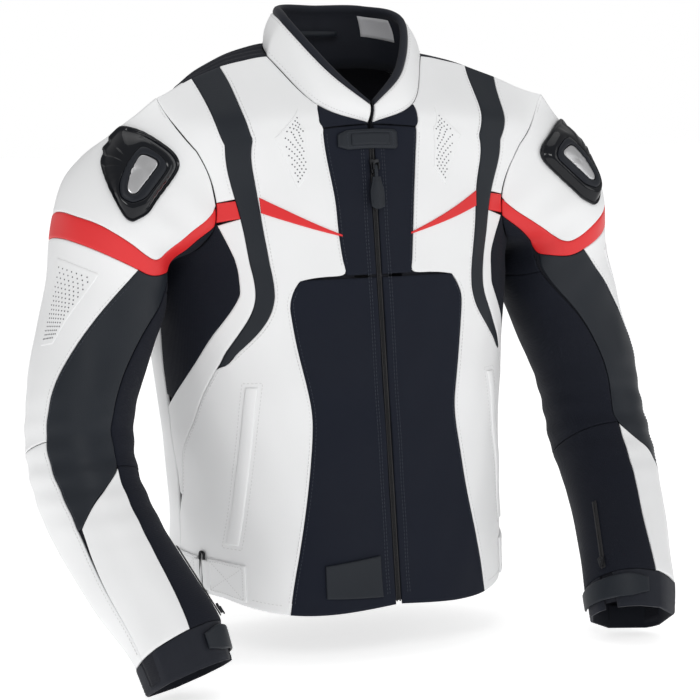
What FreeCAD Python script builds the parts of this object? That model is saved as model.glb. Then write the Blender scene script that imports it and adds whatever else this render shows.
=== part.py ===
import FreeCAD, Part
import math
import os

# Leather riding jacket, worn shape, front zip closed. Millimetres.
# Working frame: X to the wearer's left, Y to the back, Z up from the front hem.
# Every node is moved at the end so that the hanger loop is the origin.

# ---- driving dimensions: body
FRONT_LENGTH = 536        # front zip, hem to neck pit
HEM_FRONT_Y = -115        # zip at the hem
PIT_Y = -48               # zip at the neck pit
HALF_CHEST = 226          # half width at the armpit
HALF_HEM = HALF_CHEST - 27
HALF_WAIST = HALF_CHEST - 13
HALF_SHOULDER = HALF_CHEST + 22     # centre to shoulder tip
SHOULDER_Z = FRONT_LENGTH + 30
ARMPIT_Z = FRONT_LENGTH - 152
BACK_HEM_Y = 150
BACK_WAIST_Y = 175
BACK_BLADE_Y = 184
TRUNK_HALF_DEPTH = 130    # of the chest's oval
NAPE_Y = 92
NAPE_Z = FRONT_LENGTH + 86
NECK_HALF = 100           # half width of the neck at the shoulder seam
HEM_DIP = 9               # fall of the hem beside the zip

# ---- driving dimensions: layers
WALL = 3.0                # leather with its backing
STRETCH_WALL = 2.6        # stretch fabric panels
LINING_WALL = 1.0
LINING_GAP = 0.6
PAD_WALL = 8.0
PAD_GAP = 0.6
SEAM = 0.9                # open width between neighbouring panels
LIFT = 0.35               # gap under anything that lies on a panel

# ---- driving dimensions: fittings
COLLAR_HEIGHT = 50        # at the nape
COLLAR_WALL = 3.4
FACING_WALL = 2.6
BINDING_HEIGHT = 9
CHAIN_HALF = 3.6          # front zip teeth, half width
CHAIN_WALL = 2.4
SLIDER_LENGTH = 16
SLIDER_HALF = 6
SLIDER_WALL = 3.0
PULLER_LENGTH = 36
PULLER_HALF = 9
PULLER_WALL = 2.2
STRAP_HEIGHT = 40         # waist straps
STRAP_WALL = 2.4
BUCKLE_BAR = 4
CUP_LIFT = 0.7            # shoulder cup over the leather
CUP_EDGE = 3.5            # shoulder cup at its rim
CUP_DOME = 6.0            # extra height in its middle
PLATE_WALL = 1.4
CUFF_WALL = 3.6
LOOP_HALF = 26            # hanger loop
LOOP_GAP = 9
LOOP_STRAP = 3
LOOP_HEIGHT = 6

# shares of the height (0 hem, 1 shoulder line)
V_PIT = 0.84
V_ARMPIT = 0.60
V_NAPE = 0.88
V_STEP = 0.575            # top of the lower centre panels
V_YOKE = 0.68
V_ACCORDION = 0.90
SEAM_ANGLE = 200          # where the side seam meets the armhole

V = FreeCAD.Vector


# ---------------------------------------------------------------- curves
def curve(knots, t):
    """Smooth curve through (parameter, value) knots, flat outside them."""
    if t <= knots[0][0]:
        return knots[0][1]
    if t >= knots[-1][0]:
        return knots[-1][1]
    i = 0
    while t > knots[i + 1][0]:
        i += 1
    t0, p0 = knots[i]
    t1, p1 = knots[i + 1]
    before, after = knots[max(i - 1, 0)], knots[min(i + 2, len(knots) - 1)]
    m0 = (p1 - before[1]) * (1.0 / (t1 - before[0]))
    m1 = (after[1] - p0) * (1.0 / (after[0] - t0))
    h = t1 - t0
    s = (t - t0) / h
    blend = (2 * s**3 - 3 * s**2 + 1, (s**3 - 2 * s**2 + s) * h, 3 * s**2 - 2 * s**3, (s**3 - s**2) * h)
    return p0 * blend[0] + m0 * blend[1] + p1 * blend[2] + m1 * blend[3]


def smooth(t):
    t = min(max(t, 0.0), 1.0)
    return t * t * (3 - 2 * t)


def mix(a, b, t):
    return a + (b - a) * t


# ---------------------------------------------------------------- body form
NECK_POINT = V(NECK_HALF, 12, NAPE_Z - 10)
SHOULDER_TIP = V(HALF_SHOULDER, -16, SHOULDER_Z)
ARMPIT = V(HALF_CHEST, 46, ARMPIT_Z)
PIT = V(0, PIT_Y, FRONT_LENGTH)
NAPE = V(0, NAPE_Y, NAPE_Z)
FRONT_NECK = [(0, PIT), (0.5, V(0.62 * NECK_HALF, -36, FRONT_LENGTH + 22)), (1, NECK_POINT)]
BACK_NECK = [(0, NAPE), (0.5, V(0.68 * NECK_HALF, NAPE_Y - 16, NAPE_Z + 2)), (1, NECK_POINT)]
SIDE_SEAM = [(0, V(HALF_HEM, 38, 14)), (0.2, V(HALF_HEM + 2, 40, ARMPIT_Z - 254)),
             (0.41, V(HALF_WAIST, 50, ARMPIT_Z - 124)), (V_ARMPIT, ARMPIT)]
# above the armpit each block runs on to an unseen line inside the sleeve head
FRONT_SIDE_LINE = [(V_ARMPIT, ARMPIT), (0.70, V(HALF_CHEST + 2, 6, ARMPIT_Z + 60)),
                   (0.85, V(HALF_CHEST + 10, -26, SHOULDER_Z - 58)), (1, SHOULDER_TIP)]
BACK_SIDE_LINE = [(V_ARMPIT, ARMPIT), (0.70, V(HALF_CHEST + 2, 84, ARMPIT_Z + 60)),
                  (0.85, V(HALF_CHEST + 10, 66, SHOULDER_Z - 58)), (1, SHOULDER_TIP)]
# armhole, by angle round the sleeve head: share u, share v
FRONT_ARMHOLE = [(0, V(0.995, 1.0, 0)), (30, V(0.93, 0.94, 0)), (60, V(0.82, 0.84, 0)), (85, V(0.71, 0.75, 0)),
                 (110, V(0.645, 0.675, 0)), (135, V(0.69, 0.632, 0)), (160, V(0.80, 0.615, 0)),
                 (180, V(0.90, 0.606, 0)), (SEAM_ANGLE, V(1.0, V_ARMPIT, 0))]
BACK_ARMHOLE = [(SEAM_ANGLE, V(1.0, V_ARMPIT, 0)), (225, V(0.90, 0.622, 0)), (245, V(0.86, 0.67, 0)),
                (270, V(0.84, 0.77, 0)), (300, V(0.875, 0.86, 0)), (330, V(0.94, 0.94, 0)),
                (360, V(0.995, 1.0, 0))]
CENTRE_BACK = [(0, V(0, BACK_HEM_Y, 8)), (0.2, V(0, BACK_HEM_Y, NAPE_Z - 492)),
               (0.45, V(0, BACK_WAIST_Y, NAPE_Z - 322)), (0.65, V(0, BACK_BLADE_Y, NAPE_Z - 192)),
               (0.79, V(0, 152, NAPE_Z - 70)), (V_NAPE, NAPE)]


def zip_point(share):
    return mix(V(0, HEM_FRONT_Y, 0), PIT, share)


def front_centre(v):
    if v <= V_PIT:
        return zip_point(v / V_PIT)
    return curve(FRONT_NECK, (v - V_PIT) / (1 - V_PIT))


def back_centre(v):
    if v <= V_NAPE:
        return curve(CENTRE_BACK, v)
    return curve(BACK_NECK, (v - V_NAPE) / (1 - V_NAPE))


def front_edge(v):
    return curve(SIDE_SEAM if v <= V_ARMPIT else FRONT_SIDE_LINE, v)


def back_edge(v):
    return curve(SIDE_SEAM if v <= V_ARMPIT else BACK_SIDE_LINE, v)


def rim_at(angle):
    """(u, v) of the armhole at an angle."""
    point = curve(FRONT_ARMHOLE if angle <= SEAM_ANGLE else BACK_ARMHOLE, angle)
    return point.x, point.y


def back_rim(v):
    """Share u of the side seam, or above the armpit of the armhole."""
    low, high = SEAM_ANGLE, 360.0
    if v <= V_ARMPIT:
        return 1.0
    for _ in range(30):
        middle = (low + high) / 2
        if rim_at(middle)[1] < v:
            low = middle
        else:
            high = middle
    return rim_at(low)[0]


def block(u, v, inner, outer, fullness):
    """One quarter of the trunk: u 0 at the centre line, 1 at the side seam or armhole."""
    a, b = inner(v), outer(v)
    turn = math.radians(90 - 35 * smooth((v - V_ARMPIT + 0.05) / 0.30))
    across = (math.sin(u * turn) / math.sin(turn)) ** fullness
    depth = ((1 - math.cos(u * turn)) / (1 - math.cos(turn))) ** (1 / fullness)
    rise = 0.5 * u + 0.5 * smooth(u)
    return V(mix(a.x, b.x, across), mix(a.y, b.y, depth), mix(a.z, b.z, rise))


def front(u, v):
    u = max(u, 0.0)
    p = block(u, v, front_centre, front_edge, 0.84)
    dip = HEM_DIP * math.sin(math.pi * min(u * 1.4, 1.0)) * (1 - smooth(v / 0.12))
    return V(p.x, p.y, p.z - dip)


def back(u, v):
    """Signed u runs across the centre back, from one side to the other."""
    fullness = mix(0.74, 0.84, smooth((v - 0.8) / 0.2))
    p = block(abs(u), v, back_centre, back_edge, fullness)
    return V(math.copysign(p.x, u), p.y, p.z)


def share_at(v, distance):
    """Share u at which the front lies a given distance off the zip."""
    low, high = 0.0, 1.0
    for _ in range(30):
        middle = (low + high) / 2
        if front(middle, v).x - front_centre(v).x < distance:
            low = middle
        else:
            high = middle
    return low


# ---------------------------------------------------------------- sleeve form
# share along the sleeve, centre, (outer, inner, front, back) half widths
ARM_STATIONS = [
    (0.14, V(280, 18, 430), (76, 74, 76, 84)),
    (0.30, V(292, 22, 350), (68, 64, 72, 78)),
    (0.48, V(329, 8, 240), (60, 58, 66, 70)),
    (0.60, V(337, -12, 165), (58, 56, 62, 68)),
    (0.76, V(323, -74, 84), (55, 53, 58, 60)),
    (0.93, V(292, -146, 2), (52, 52, 52, 54)),
    (1.00, V(282, -166, -37), (50, 48, 48, 50)),
]
ROOT_TILT = 48            # lean of the sleeve head's ring towards the body
ELBOW_SHARE = 0.56


def armhole(angle):
    """angle 0 at the shoulder tip, 90 in front, 180 under the arm, 270 behind."""
    angle = angle % 360
    form = front if angle <= SEAM_ANGLE else back
    return form(*rim_at(angle))


def arm_shift():
    """The sleeve follows the armhole when the body's size changes."""
    return V(HALF_SHOULDER - 248, 0, SHOULDER_Z - 566)


def station_axes(k):
    """Directions across a sleeve ring: outward and forward."""
    tilt = math.radians(ROOT_TILT)
    down = V(math.sin(tilt), 0, -math.cos(tilt))
    if k > 0:
        after = ARM_STATIONS[min(k + 1, len(ARM_STATIONS) - 1)][1]
        down = (after - ARM_STATIONS[k - 1][1]).normalize()
    forward = V(1, 0, 0).cross(down).normalize()
    if forward.y > 0:
        forward = forward * -1
    outward = down.cross(forward).normalize()
    if outward.x < 0:
        outward = outward * -1
    return outward, forward


ARM_AXES = [station_axes(k) for k in range(len(ARM_STATIONS))]


def arm_ring(k, angle):
    centre, widths = ARM_STATIONS[k][1], ARM_STATIONS[k][2]
    outward, forward = ARM_AXES[k]
    c, s = math.cos(math.radians(angle)), math.sin(math.radians(angle))
    across = widths[0] if c > 0 else widths[1]
    along = widths[2] if s > 0 else widths[3]
    return centre + arm_shift() + outward * (across * c) + forward * (along * s)


def sleeve(s, angle):
    knots = [(0, armhole(angle))]
    knots += [(ARM_STATIONS[k][0], arm_ring(k, angle)) for k in range(len(ARM_STATIONS))]
    return curve(knots, s)


# ---------------------------------------------------------------- solids
def normal(form, p, q):
    """Unit normal of a form, pointing out of the garment."""
    edge = 0.005
    step = 0.004
    turn_step = 1.0 if form is sleeve else step
    p = min(max(p, edge - 1 if form is back else edge), 1 - edge)
    if form is not sleeve:
        q = min(max(q, edge), 1 - edge)
    along_p = (form(p + step, q) - form(p - step, q)).normalize()
    along_q = (form(p, q + turn_step) - form(p, q - turn_step)).normalize()
    n = along_p.cross(along_q)
    if form is not front:
        n = n * -1
    if form is not sleeve:
        n = shared_at_seams(n + away_from_trunk(form(p, q)) * (1 - n.Length), form(p, q), p, q)
    return n.normalize()


def shared_at_seams(n, point, u, v):
    """Front and back take one direction at the side seam and one along the shoulder."""
    side = smooth((abs(u) - 0.8) / 0.195)
    crest = smooth((v - 0.88) / 0.115)
    n = mix(n.normalize(), away_from_trunk(point), side)
    return mix(n.normalize(), V(0.3 * point.x / HALF_SHOULDER, 0, 1).normalize(), crest)


def away_from_trunk(point):
    """Level direction out of the trunk's oval, steady where seams run side by side."""
    return V(point.x / HALF_CHEST**2, (point.y - 40) / TRUNK_HALF_DEPTH**2, 0).normalize()


def grid(form, area, height, rows, columns):
    """Points of a form over an area, raised by height(a, b)."""
    points = []
    for i in range(rows + 1):
        line = []
        for j in range(columns + 1):
            a, b = i / rows, j / columns
            p, q = area(a, b)
            line.append(form(p, q) + normal(form, p, q) * height(a, b))
        points.append(line)
    return points


def spline_knots(count, degree):
    """Knots and multiplicities of a clamped spline through evenly spaced points."""
    last = count - 1
    inner = [(j + (degree - 1) / 2) / last for j in range(1, last - degree + 1)]
    return [0.0] + inner + [1.0], [degree + 1] + [1] * len(inner) + [degree + 1]


def basis(i, degree, flat, t):
    """Value of one spline basis function."""
    if degree == 0:
        last_span = t >= 1.0 and flat[i] < flat[i + 1] == 1.0
        return 1.0 if flat[i] <= t < flat[i + 1] or last_span else 0.0
    value = 0.0
    if flat[i + degree] > flat[i]:
        value += (t - flat[i]) / (flat[i + degree] - flat[i]) * basis(i, degree - 1, flat, t)
    if flat[i + degree + 1] > flat[i + 1]:
        value += (flat[i + degree + 1] - t) / (flat[i + degree + 1] - flat[i + 1]) * basis(i + 1, degree - 1, flat, t)
    return value


def inverse(matrix):
    size = len(matrix)
    rows = [list(row) + [1.0 if i == j else 0.0 for j in range(size)] for i, row in enumerate(matrix)]
    for k in range(size):
        pivot = max(range(k, size), key=lambda i: abs(rows[i][k]))
        rows[k], rows[pivot] = rows[pivot], rows[k]
        scale = 1.0 / rows[k][k]
        rows[k] = [x * scale for x in rows[k]]
        for i in range(size):
            factor = rows[i][k]
            if i != k and factor:
                rows[i] = [x - factor * y for x, y in zip(rows[i], rows[k])]
    return [row[size:] for row in rows]


POLE_WEIGHTS = {}


def pole_weights(count):
    """How each pole follows from the points that the spline must pass through."""
    if count not in POLE_WEIGHTS:
        degree = min(3, count - 1)
        knot_values, multiples = spline_knots(count, degree)
        flat = [k for k, m in zip(knot_values, multiples) for _ in range(m)]
        matrix = [[basis(j, degree, flat, i / (count - 1)) for j in range(count)] for i in range(count)]
        POLE_WEIGHTS[count] = inverse(matrix)
    return POLE_WEIGHTS[count]


def poles_of(line):
    poles = []
    for row in pole_weights(len(line)):
        pole = V(0, 0, 0)
        for weight, point in zip(row, line):
            if abs(weight) > 1e-7:
                pole += point * weight
        poles.append(pole)
    return poles


def surface(points):
    """Smooth surface through a grid of points."""
    rows = [poles_of(line) for line in points]
    columns = [poles_of(list(line)) for line in zip(*rows)]
    poles = [list(line) for line in zip(*columns)]
    degree_u, degree_v = min(3, len(points) - 1), min(3, len(points[0]) - 1)
    knots_u, mults_u = spline_knots(len(points), degree_u)
    knots_v, mults_v = spline_knots(len(points[0]), degree_v)
    s = Part.BSplineSurface()
    s.buildFromPolesMultsKnots(poles, mults_u, mults_v, knots_u, knots_v, False, False, degree_u, degree_v)
    return s


def slab(outer, inner):
    """Closed solid between two grids of the same size."""
    borders = [(outer[0], inner[0]), (outer[-1], inner[-1])]
    borders += [([line[k] for line in outer], [line[k] for line in inner]) for k in (0, -1)]
    faces = [surface(outer).toShape(), surface(inner).toShape()]
    faces += [surface([first, second]).toShape() for first, second in borders]
    shell = Part.makeShell(faces)
    shell.sewShape()
    solid = Part.makeSolid(shell)
    if solid.Volume < 0:
        solid.reverse()
    return solid


def trimmed(form, area):
    """The same area drawn in by half a seam on all four sides."""
    def width(p0, p1):
        return max((form(*p1) - form(*p0)).Length, 1.0)

    def inner_area(a, b):
        across = min(0.5 * SEAM / width(area(0, b), area(1, b)), 0.2)
        along = min(0.5 * SEAM / width(area(a, 0), area(a, 1)), 0.2)
        return area(mix(across, 1 - across, a), mix(along, 1 - along, b))
    return inner_area


def panel(form, area, wall, rows=6, columns=12, lift=0.0):
    """Sewn-in panel: its outer face is lift above the form, its wall inward."""
    area = trimmed(form, area)
    outer = grid(form, area, lambda a, b: lift, rows, columns)
    inner = grid(form, area, lambda a, b: lift - wall, rows, columns)
    return slab(outer, inner)


def patch(form, area, base, top, rows=6, columns=8):
    """Piece that lies on a form, from height base to height top(a, b)."""
    outer = grid(form, area, top, rows, columns)
    inner = grid(form, area, lambda a, b: base, rows, columns)
    return slab(outer, inner)


def between(low, high, v0, v1):
    """Area from edge low(v) to edge high(v) over a range of heights."""
    def area(a, b):
        v = mix(v0, v1, b)
        return mix(low(v), high(v), a), v
    return area


def strip(first, second):
    """Area between two edges, each a list of (share, point) knots."""
    def area(a, b):
        p = mix(curve(first, b), curve(second, b), a)
        return min(p.x, 1.0), p.y
    return area


def knots(*points):
    """Edge through (p, q) points, spaced evenly by its parameter."""
    last = len(points) - 1
    return [(i / last, V(p, q, 0)) for i, (p, q) in enumerate(points)]


def follow(edge, v0, v1, count):
    """Points (edge(v), v) at even heights."""
    return [(edge(mix(v0, v1, i / (count - 1))), mix(v0, v1, i / (count - 1))) for i in range(count)]


def along(points, count):
    """More points on the smooth edge through a few."""
    edge = knots(*points)
    found = [curve(edge, i / (count - 1)) for i in range(count)]
    return [(p.x, p.y) for p in found]


def rounded(corner):
    """Unit square drawn into a round-cornered one."""
    def area(a, b):
        x, y = 2 * a - 1, 2 * b - 1
        return 0.5 + 0.5 * x * math.sqrt(1 - corner * y * y), 0.5 + 0.5 * y * math.sqrt(1 - corner * x * x)
    return area


def four_corners(c00, c10, c11, c01, corner=0.0):
    """Area with four (p, q) corners, rounded by a share."""
    square = rounded(corner)

    def area(a, b):
        x, y = square(a, b)
        p = mix(mix(c00[0], c10[0], x), mix(c01[0], c11[0], x), y)
        q = mix(mix(c00[1], c10[1], x), mix(c01[1], c11[1], x), y)
        return p, q
    return area


def mirrored(shape):
    return shape.mirror(V(0, 0, 0), V(1, 0, 0))


# ---------------------------------------------------------------- seams on the front
def placket_edge(v):
    return curve([(0.57, 0.085), (0.65, 0.10), (0.71, 0.12), (0.80, 0.145), (0.87, 0.11), (0.915, 0.03)], v)


def lower_edge(v):
    return curve([(0, 0.40), (0.05, 0.375), (0.10, 0.345), (0.19, 0.30), (0.26, 0.27), (0.32, 0.25),
                  (0.36, 0.25), (0.46, 0.28), (0.52, 0.29), (0.54, 0.285), (V_STEP, 0.24)], v)


STRIPE_INNER = [(0.42, 0.635), (0.465, 0.47), (0.50, 0.385), (0.53, 0.345), (0.56, 0.34), (0.61, 0.365),
                (0.68, 0.43), (0.72, 0.46), (0.78, 0.505), (0.83, 0.515), (0.88, 0.455), (0.93, 0.375), (1.0, 0.28)]
STRIPE_OUTER = [(0.42, 0.65), (0.45, 0.585), (0.49, 0.49), (0.525, 0.43), (0.555, 0.41), (0.60, 0.44),
                (0.63, 0.465), (0.68, 0.525), (0.715, 0.57), (0.76, 0.62), (0.81, 0.655), (0.88, 0.635),
                (0.945, 0.56), (1.0, 0.53)]
V_TIP = 0.42              # pointed lower end of the shoulder stripe
WAIST_SEAM = [(0.975, 0.18), (0.92, 0.26), (0.80, 0.33), (0.725, 0.375), (0.64, V_TIP)]
STRETCH_EDGE = [(0.95, 0.36), (0.80, 0.41), (0.66, 0.47), (0.56, 0.51), (0.50, 0.54), (0.485, 0.56),
                (0.50, 0.60), (0.56, 0.635), (0.635, 0.668)]
FLASH_ANGLES = (97, 111)  # red flash, where it meets the armhole


def stripe_inner(v):
    return curve(STRIPE_INNER, v)


def stripe_outer(v):
    return curve(STRIPE_OUTER, v)


def front_panel_area():
    """White front, from the centre panels out to the stripe and the side seam."""
    side = follow(lambda v: 1.0, 0.0, 0.12, 3) + along([(1.0, 0.14)] + WAIST_SEAM, 17)
    stripe = follow(stripe_inner, V_TIP + 0.01, 0.54, 7)
    inner, outer = follow(lower_edge, 0.0, V_STEP - 0.006, len(side + stripe)), side + stripe
    corner_low, corner_high = lower_edge(V_STEP), placket_edge(V_STEP)
    inner += [(mix(corner_low, corner_high, t), V_STEP + 0.002) for t in (0.15, 0.5, 0.85)]
    outer += follow(stripe_inner, 0.55, 0.58, 3)
    inner += follow(placket_edge, V_STEP + 0.008, 0.915, 18) + follow(lambda v: 0.0, 0.93, 1.0, 4)
    outer += follow(stripe_inner, 0.595, 1.0, 22)
    return strip(knots(*inner), knots(*outer))


def front_panel():
    return panel(front, front_panel_area(), WALL, rows=8, columns=72)


def lower_centre():
    area = between(lambda v: share_at(v, CHAIN_HALF), lower_edge, 0.0, V_STEP - 0.003)
    return panel(front, area, STRETCH_WALL, rows=6, columns=32)


def upper_placket():
    bottom = between(lambda v: share_at(v, CHAIN_HALF), placket_edge, V_STEP + 0.002, V_PIT - 0.002)
    top = between(lambda v: 0.0, placket_edge, V_PIT, 0.905)
    return [panel(front, bottom, WALL, rows=4, columns=10), panel(front, top, WALL, rows=4, columns=6)]


def shoulder_stripe():
    return panel(front, between(stripe_inner, stripe_outer, V_TIP + 0.005, 1.0), WALL, rows=4, columns=40)


def side_panel():
    """White strip between the shoulder stripe and the side stretch panel."""
    inner = along(WAIST_SEAM, 9) + follow(stripe_outer, V_TIP + 0.012, 0.68, 16)
    outer = along([(0.985, 0.185), (1.0, 0.25), (1.0, 0.31), (0.995, 0.345)], 6) + along(STRETCH_EDGE, 19)
    return panel(front, strip(knots(*inner), knots(*outer)), WALL, rows=4, columns=48)


def side_stretch():
    outer = follow(lambda v: 0.997, 0.366, V_ARMPIT, 10)
    outer += [rim_at(mix(SEAM_ANGLE, FLASH_ANGLES[1] + 1, i / 9)) for i in range(1, 10)]
    inner = along(STRETCH_EDGE, len(outer))
    return panel(front, strip(knots(*inner), knots(*outer)), STRETCH_WALL, rows=6, columns=36)


def shoulder_front():
    """White leather between the red flash and the shoulder line."""
    inner = follow(stripe_outer, 0.718, 1.0, 13)
    outer = [rim_at(mix(FLASH_ANGLES[0] - 1, 0, i / 12)) for i in range(13)]
    return panel(front, strip(knots(*inner), knots(*outer)), WALL, rows=5, columns=24)


def shoulder_back():
    area = between(lambda v: 0.62, back_rim, V_ACCORDION, 1.0)
    return panel(back, area, WALL, rows=5, columns=6)


def armhole_flash():
    """Red piece let in between the stripe and the armhole."""
    high, low = rim_at(FLASH_ANGLES[0]), rim_at(FLASH_ANGLES[1])
    area = strip(knots((stripe_outer(0.68), 0.68), low), knots((stripe_outer(0.715), 0.715), high))
    return panel(front, area, WALL, rows=3, columns=6)


def chest_flash():
    """Red wedge laid on the white front, pointed towards the zip."""
    area = four_corners((0.10, 0.645), (0.10, 0.648), (0.455, 0.72), (0.435, 0.69))
    return patch(front, area, LIFT, lambda a, b: LIFT + 1.2, rows=3, columns=8)


# ---------------------------------------------------------------- seams on the back
def centre_back_edge(v):
    return curve([(0, 0.30), (0.3, 0.33), (0.5, 0.45), (V_YOKE, 0.56)], v)


def across_back(edge, v0, v1):
    """Area over the whole width of the back between two heights."""
    def area(a, b):
        v = mix(v0, v1, b)
        w = 2 * a - 1
        return math.copysign(abs(w) ** 1.3, w) * edge(v), v
    return area


def back_yoke():
    return panel(back, across_back(back_rim, V_YOKE, V_NAPE - 0.004), WALL, rows=24, columns=12)


def yoke_shoulder():
    area = between(lambda v: 0.0, back_rim, V_NAPE + 0.001, V_ACCORDION)
    return panel(back, area, WALL, rows=8, columns=2)


def back_centre_panel():
    return panel(back, across_back(centre_back_edge, 0.0, V_YOKE), WALL, rows=12, columns=24)


def back_side():
    outer = follow(lambda v: 1.0, 0.0, V_ARMPIT, 14)
    outer += [rim_at(angle) for angle in (209, 218, 227, 236)] + [(back_rim(V_YOKE), V_YOKE)]
    inner = follow(centre_back_edge, 0.0, V_YOKE, len(outer))
    return panel(back, strip(knots(*inner), knots(*outer)), WALL, rows=8, columns=32)


def accordion():
    """Pleated stretch panel behind the shoulder, with rounded ribs."""
    area = trimmed(back, between(lambda v: 0.0, lambda v: 0.62, V_ACCORDION, 1.0))
    return patch(back, area, -STRETCH_WALL, lambda a, b: 0.6 * math.sin(6 * math.pi * b) ** 2, rows=6, columns=24)


# ---------------------------------------------------------------- collar
COLLAR_TOP = [(-1, PIT + V(0, -3, 23)), (-0.75, V(-0.44 * NECK_HALF, -34, FRONT_LENGTH + 66)),
              (-0.5, V(-0.74 * NECK_HALF, 14, NAPE_Z + 34)), (-0.25, V(-0.55 * NECK_HALF, NAPE_Y - 22, NAPE_Z + 47)),
              (0, NAPE + V(0, -4, 47)), (0.25, V(0.55 * NECK_HALF, NAPE_Y - 22, NAPE_Z + 47)),
              (0.5, V(0.74 * NECK_HALF, 14, NAPE_Z + 34)), (0.75, V(0.44 * NECK_HALF, -34, FRONT_LENGTH + 66)),
              (1, PIT + V(0, -3, 23))]
COLLAR_END = 0.985        # the collar's ends stop short of the zip


def neckline(t):
    """Seam of the collar: t 0 at the nape, 0.5 over the shoulder, 1 at the zip."""
    share = abs(t)
    if share <= 0.5:
        p = back_centre(V_NAPE + (1 - V_NAPE) * 2 * share)
    else:
        p = front_centre(V_PIT + (1 - V_PIT) * 2 * (1 - share))
    return V(math.copysign(p.x, t), p.y, p.z)


def collar(h, t):
    base, top = neckline(t), curve(COLLAR_TOP, t)
    away = V(base.x, base.y - 30, 0).normalize()
    return mix(base, top, h) + away * (5 * math.sin(math.pi * min(max(h, 0), 1)))


def collar_grid(h0, h1, depth, rows, columns):
    points = []
    for i in range(rows + 1):
        line = []
        for j in range(columns + 1):
            h = mix(h0, h1, i / rows)
            t = mix(-COLLAR_END, COLLAR_END, j / columns)
            here = collar(h, t)
            across = (collar(h, t + 0.01) - collar(h, t - 0.01))
            up = collar(h + 0.02, t) - collar(h - 0.02, t)
            n = across.cross(up).normalize()
            if n.dot(here - V(0, 30, here.z)) < 0:
                n = n * -1
            line.append(here - n * depth)
        points.append(line)
    return points


def collar_shell():
    low, high = SEAM / COLLAR_HEIGHT, 1 - BINDING_HEIGHT / COLLAR_HEIGHT
    return slab(collar_grid(low, high, 0, 5, 40), collar_grid(low, high, COLLAR_WALL, 5, 40))


def collar_facing():
    depth = COLLAR_WALL + LIFT
    return slab(collar_grid(0.0, 1, depth, 6, 40), collar_grid(0.0, 1, depth + FACING_WALL, 6, 40))


FACING_Y = NAPE_Y - COLLAR_WALL - LIFT - FACING_WALL
LOOP_Z = NAPE_Z + 14
HOOK = V(0, FACING_Y - LOOP_GAP / 2, LOOP_Z)


def facing_at(x):
    """Inner face of the collar at the loop's height, some way off the centre."""
    h, low, high = (LOOP_Z - NAPE_Z) / COLLAR_HEIGHT, 0.0, 0.5
    for _ in range(30):
        middle = (low + high) / 2
        if collar(h, middle).x < x:
            low = middle
        else:
            high = middle
    return collar(h, low).y - (NAPE_Y - FACING_Y)


def hanger_loop():
    """Leather strap stitched at both ends inside the nape."""
    bar = Part.makeBox(2 * LOOP_HALF, LOOP_STRAP, LOOP_HEIGHT,
                       V(-LOOP_HALF, FACING_Y - LOOP_GAP - LOOP_STRAP, LOOP_Z - LOOP_HEIGHT / 2))
    foot_y = FACING_Y - LOOP_GAP - LOOP_STRAP / 2
    reach = facing_at(LOOP_HALF) - SEAM - foot_y
    ends = [Part.makeBox(LOOP_STRAP, reach, LOOP_HEIGHT, V(x, foot_y, LOOP_Z - LOOP_HEIGHT / 2))
            for x in (-LOOP_HALF, LOOP_HALF - LOOP_STRAP)]
    return bar.multiFuse(ends).removeSplitter()


# ---------------------------------------------------------------- front zip
ZIP_UP = (PIT - V(0, HEM_FRONT_Y, 0)).normalize()
ZIP_OUT = V(0, -ZIP_UP.z, ZIP_UP.y)
SLIDER_AT = FRONT_LENGTH - 44     # slider's centre, up the zip
LOWEST_SLIDER = 40


def zip_box(x0, x1, up0, up1, out0, out1):
    """Box in the zip's own directions: across, up the zip and outward."""
    corner = V(0, HEM_FRONT_Y, 0) + ZIP_UP * up0 + ZIP_OUT * out0
    box = Part.makeBox(x1 - x0, out1 - out0, up1 - up0)
    turn = FreeCAD.Rotation(V(1, 0, 0), -ZIP_OUT, ZIP_UP, "XZY")
    box.Placement = FreeCAD.Placement(corner + V(x0, 0, 0) + ZIP_OUT * (out1 - out0), turn)
    return box


def zip_chain():
    return zip_box(-CHAIN_HALF + SEAM, CHAIN_HALF - SEAM, 3, FRONT_LENGTH - 3, -CHAIN_WALL, -0.1)


def zip_slider():
    body = zip_box(-SLIDER_HALF, SLIDER_HALF, SLIDER_AT - SLIDER_LENGTH / 2, SLIDER_AT + SLIDER_LENGTH / 2,
                   LIFT, LIFT + SLIDER_WALL)
    ears = [zip_box(x, x + 1.6, SLIDER_AT - 4, SLIDER_AT + 4, LIFT + SLIDER_WALL - 0.5, LIFT + SLIDER_WALL + 4)
            for x in (-4.2, 2.6)]
    return body.multiFuse(ears).removeSplitter()


PULL_PIN_OUT = LIFT + SLIDER_WALL + 2.2


def zip_puller():
    """Leather pull with a metal eye between the slider's ears."""
    eye = zip_box(-2.3, 2.3, SLIDER_AT - 14, SLIDER_AT + 1.6, PULL_PIN_OUT - 0.9, PULL_PIN_OUT + 0.9)
    tail = zip_box(-PULLER_HALF, PULLER_HALF, SLIDER_AT - 12 - PULLER_LENGTH, SLIDER_AT - 12,
                   PULL_PIN_OUT - PULLER_WALL / 2, PULL_PIN_OUT + PULLER_WALL / 2)
    return eye.fuse(tail).removeSplitter()


# ---------------------------------------------------------------- tabs
TAB_LIFT = 0.5
COLLAR_TAB_UP = FRONT_LENGTH - 17
COLLAR_TAB_HALF = 11
COLLAR_TAB_REACH = (-44, 32)
HEM_TAB_X = (-88, -21)
HEM_TAB_V = (0.018, 0.088)


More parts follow.
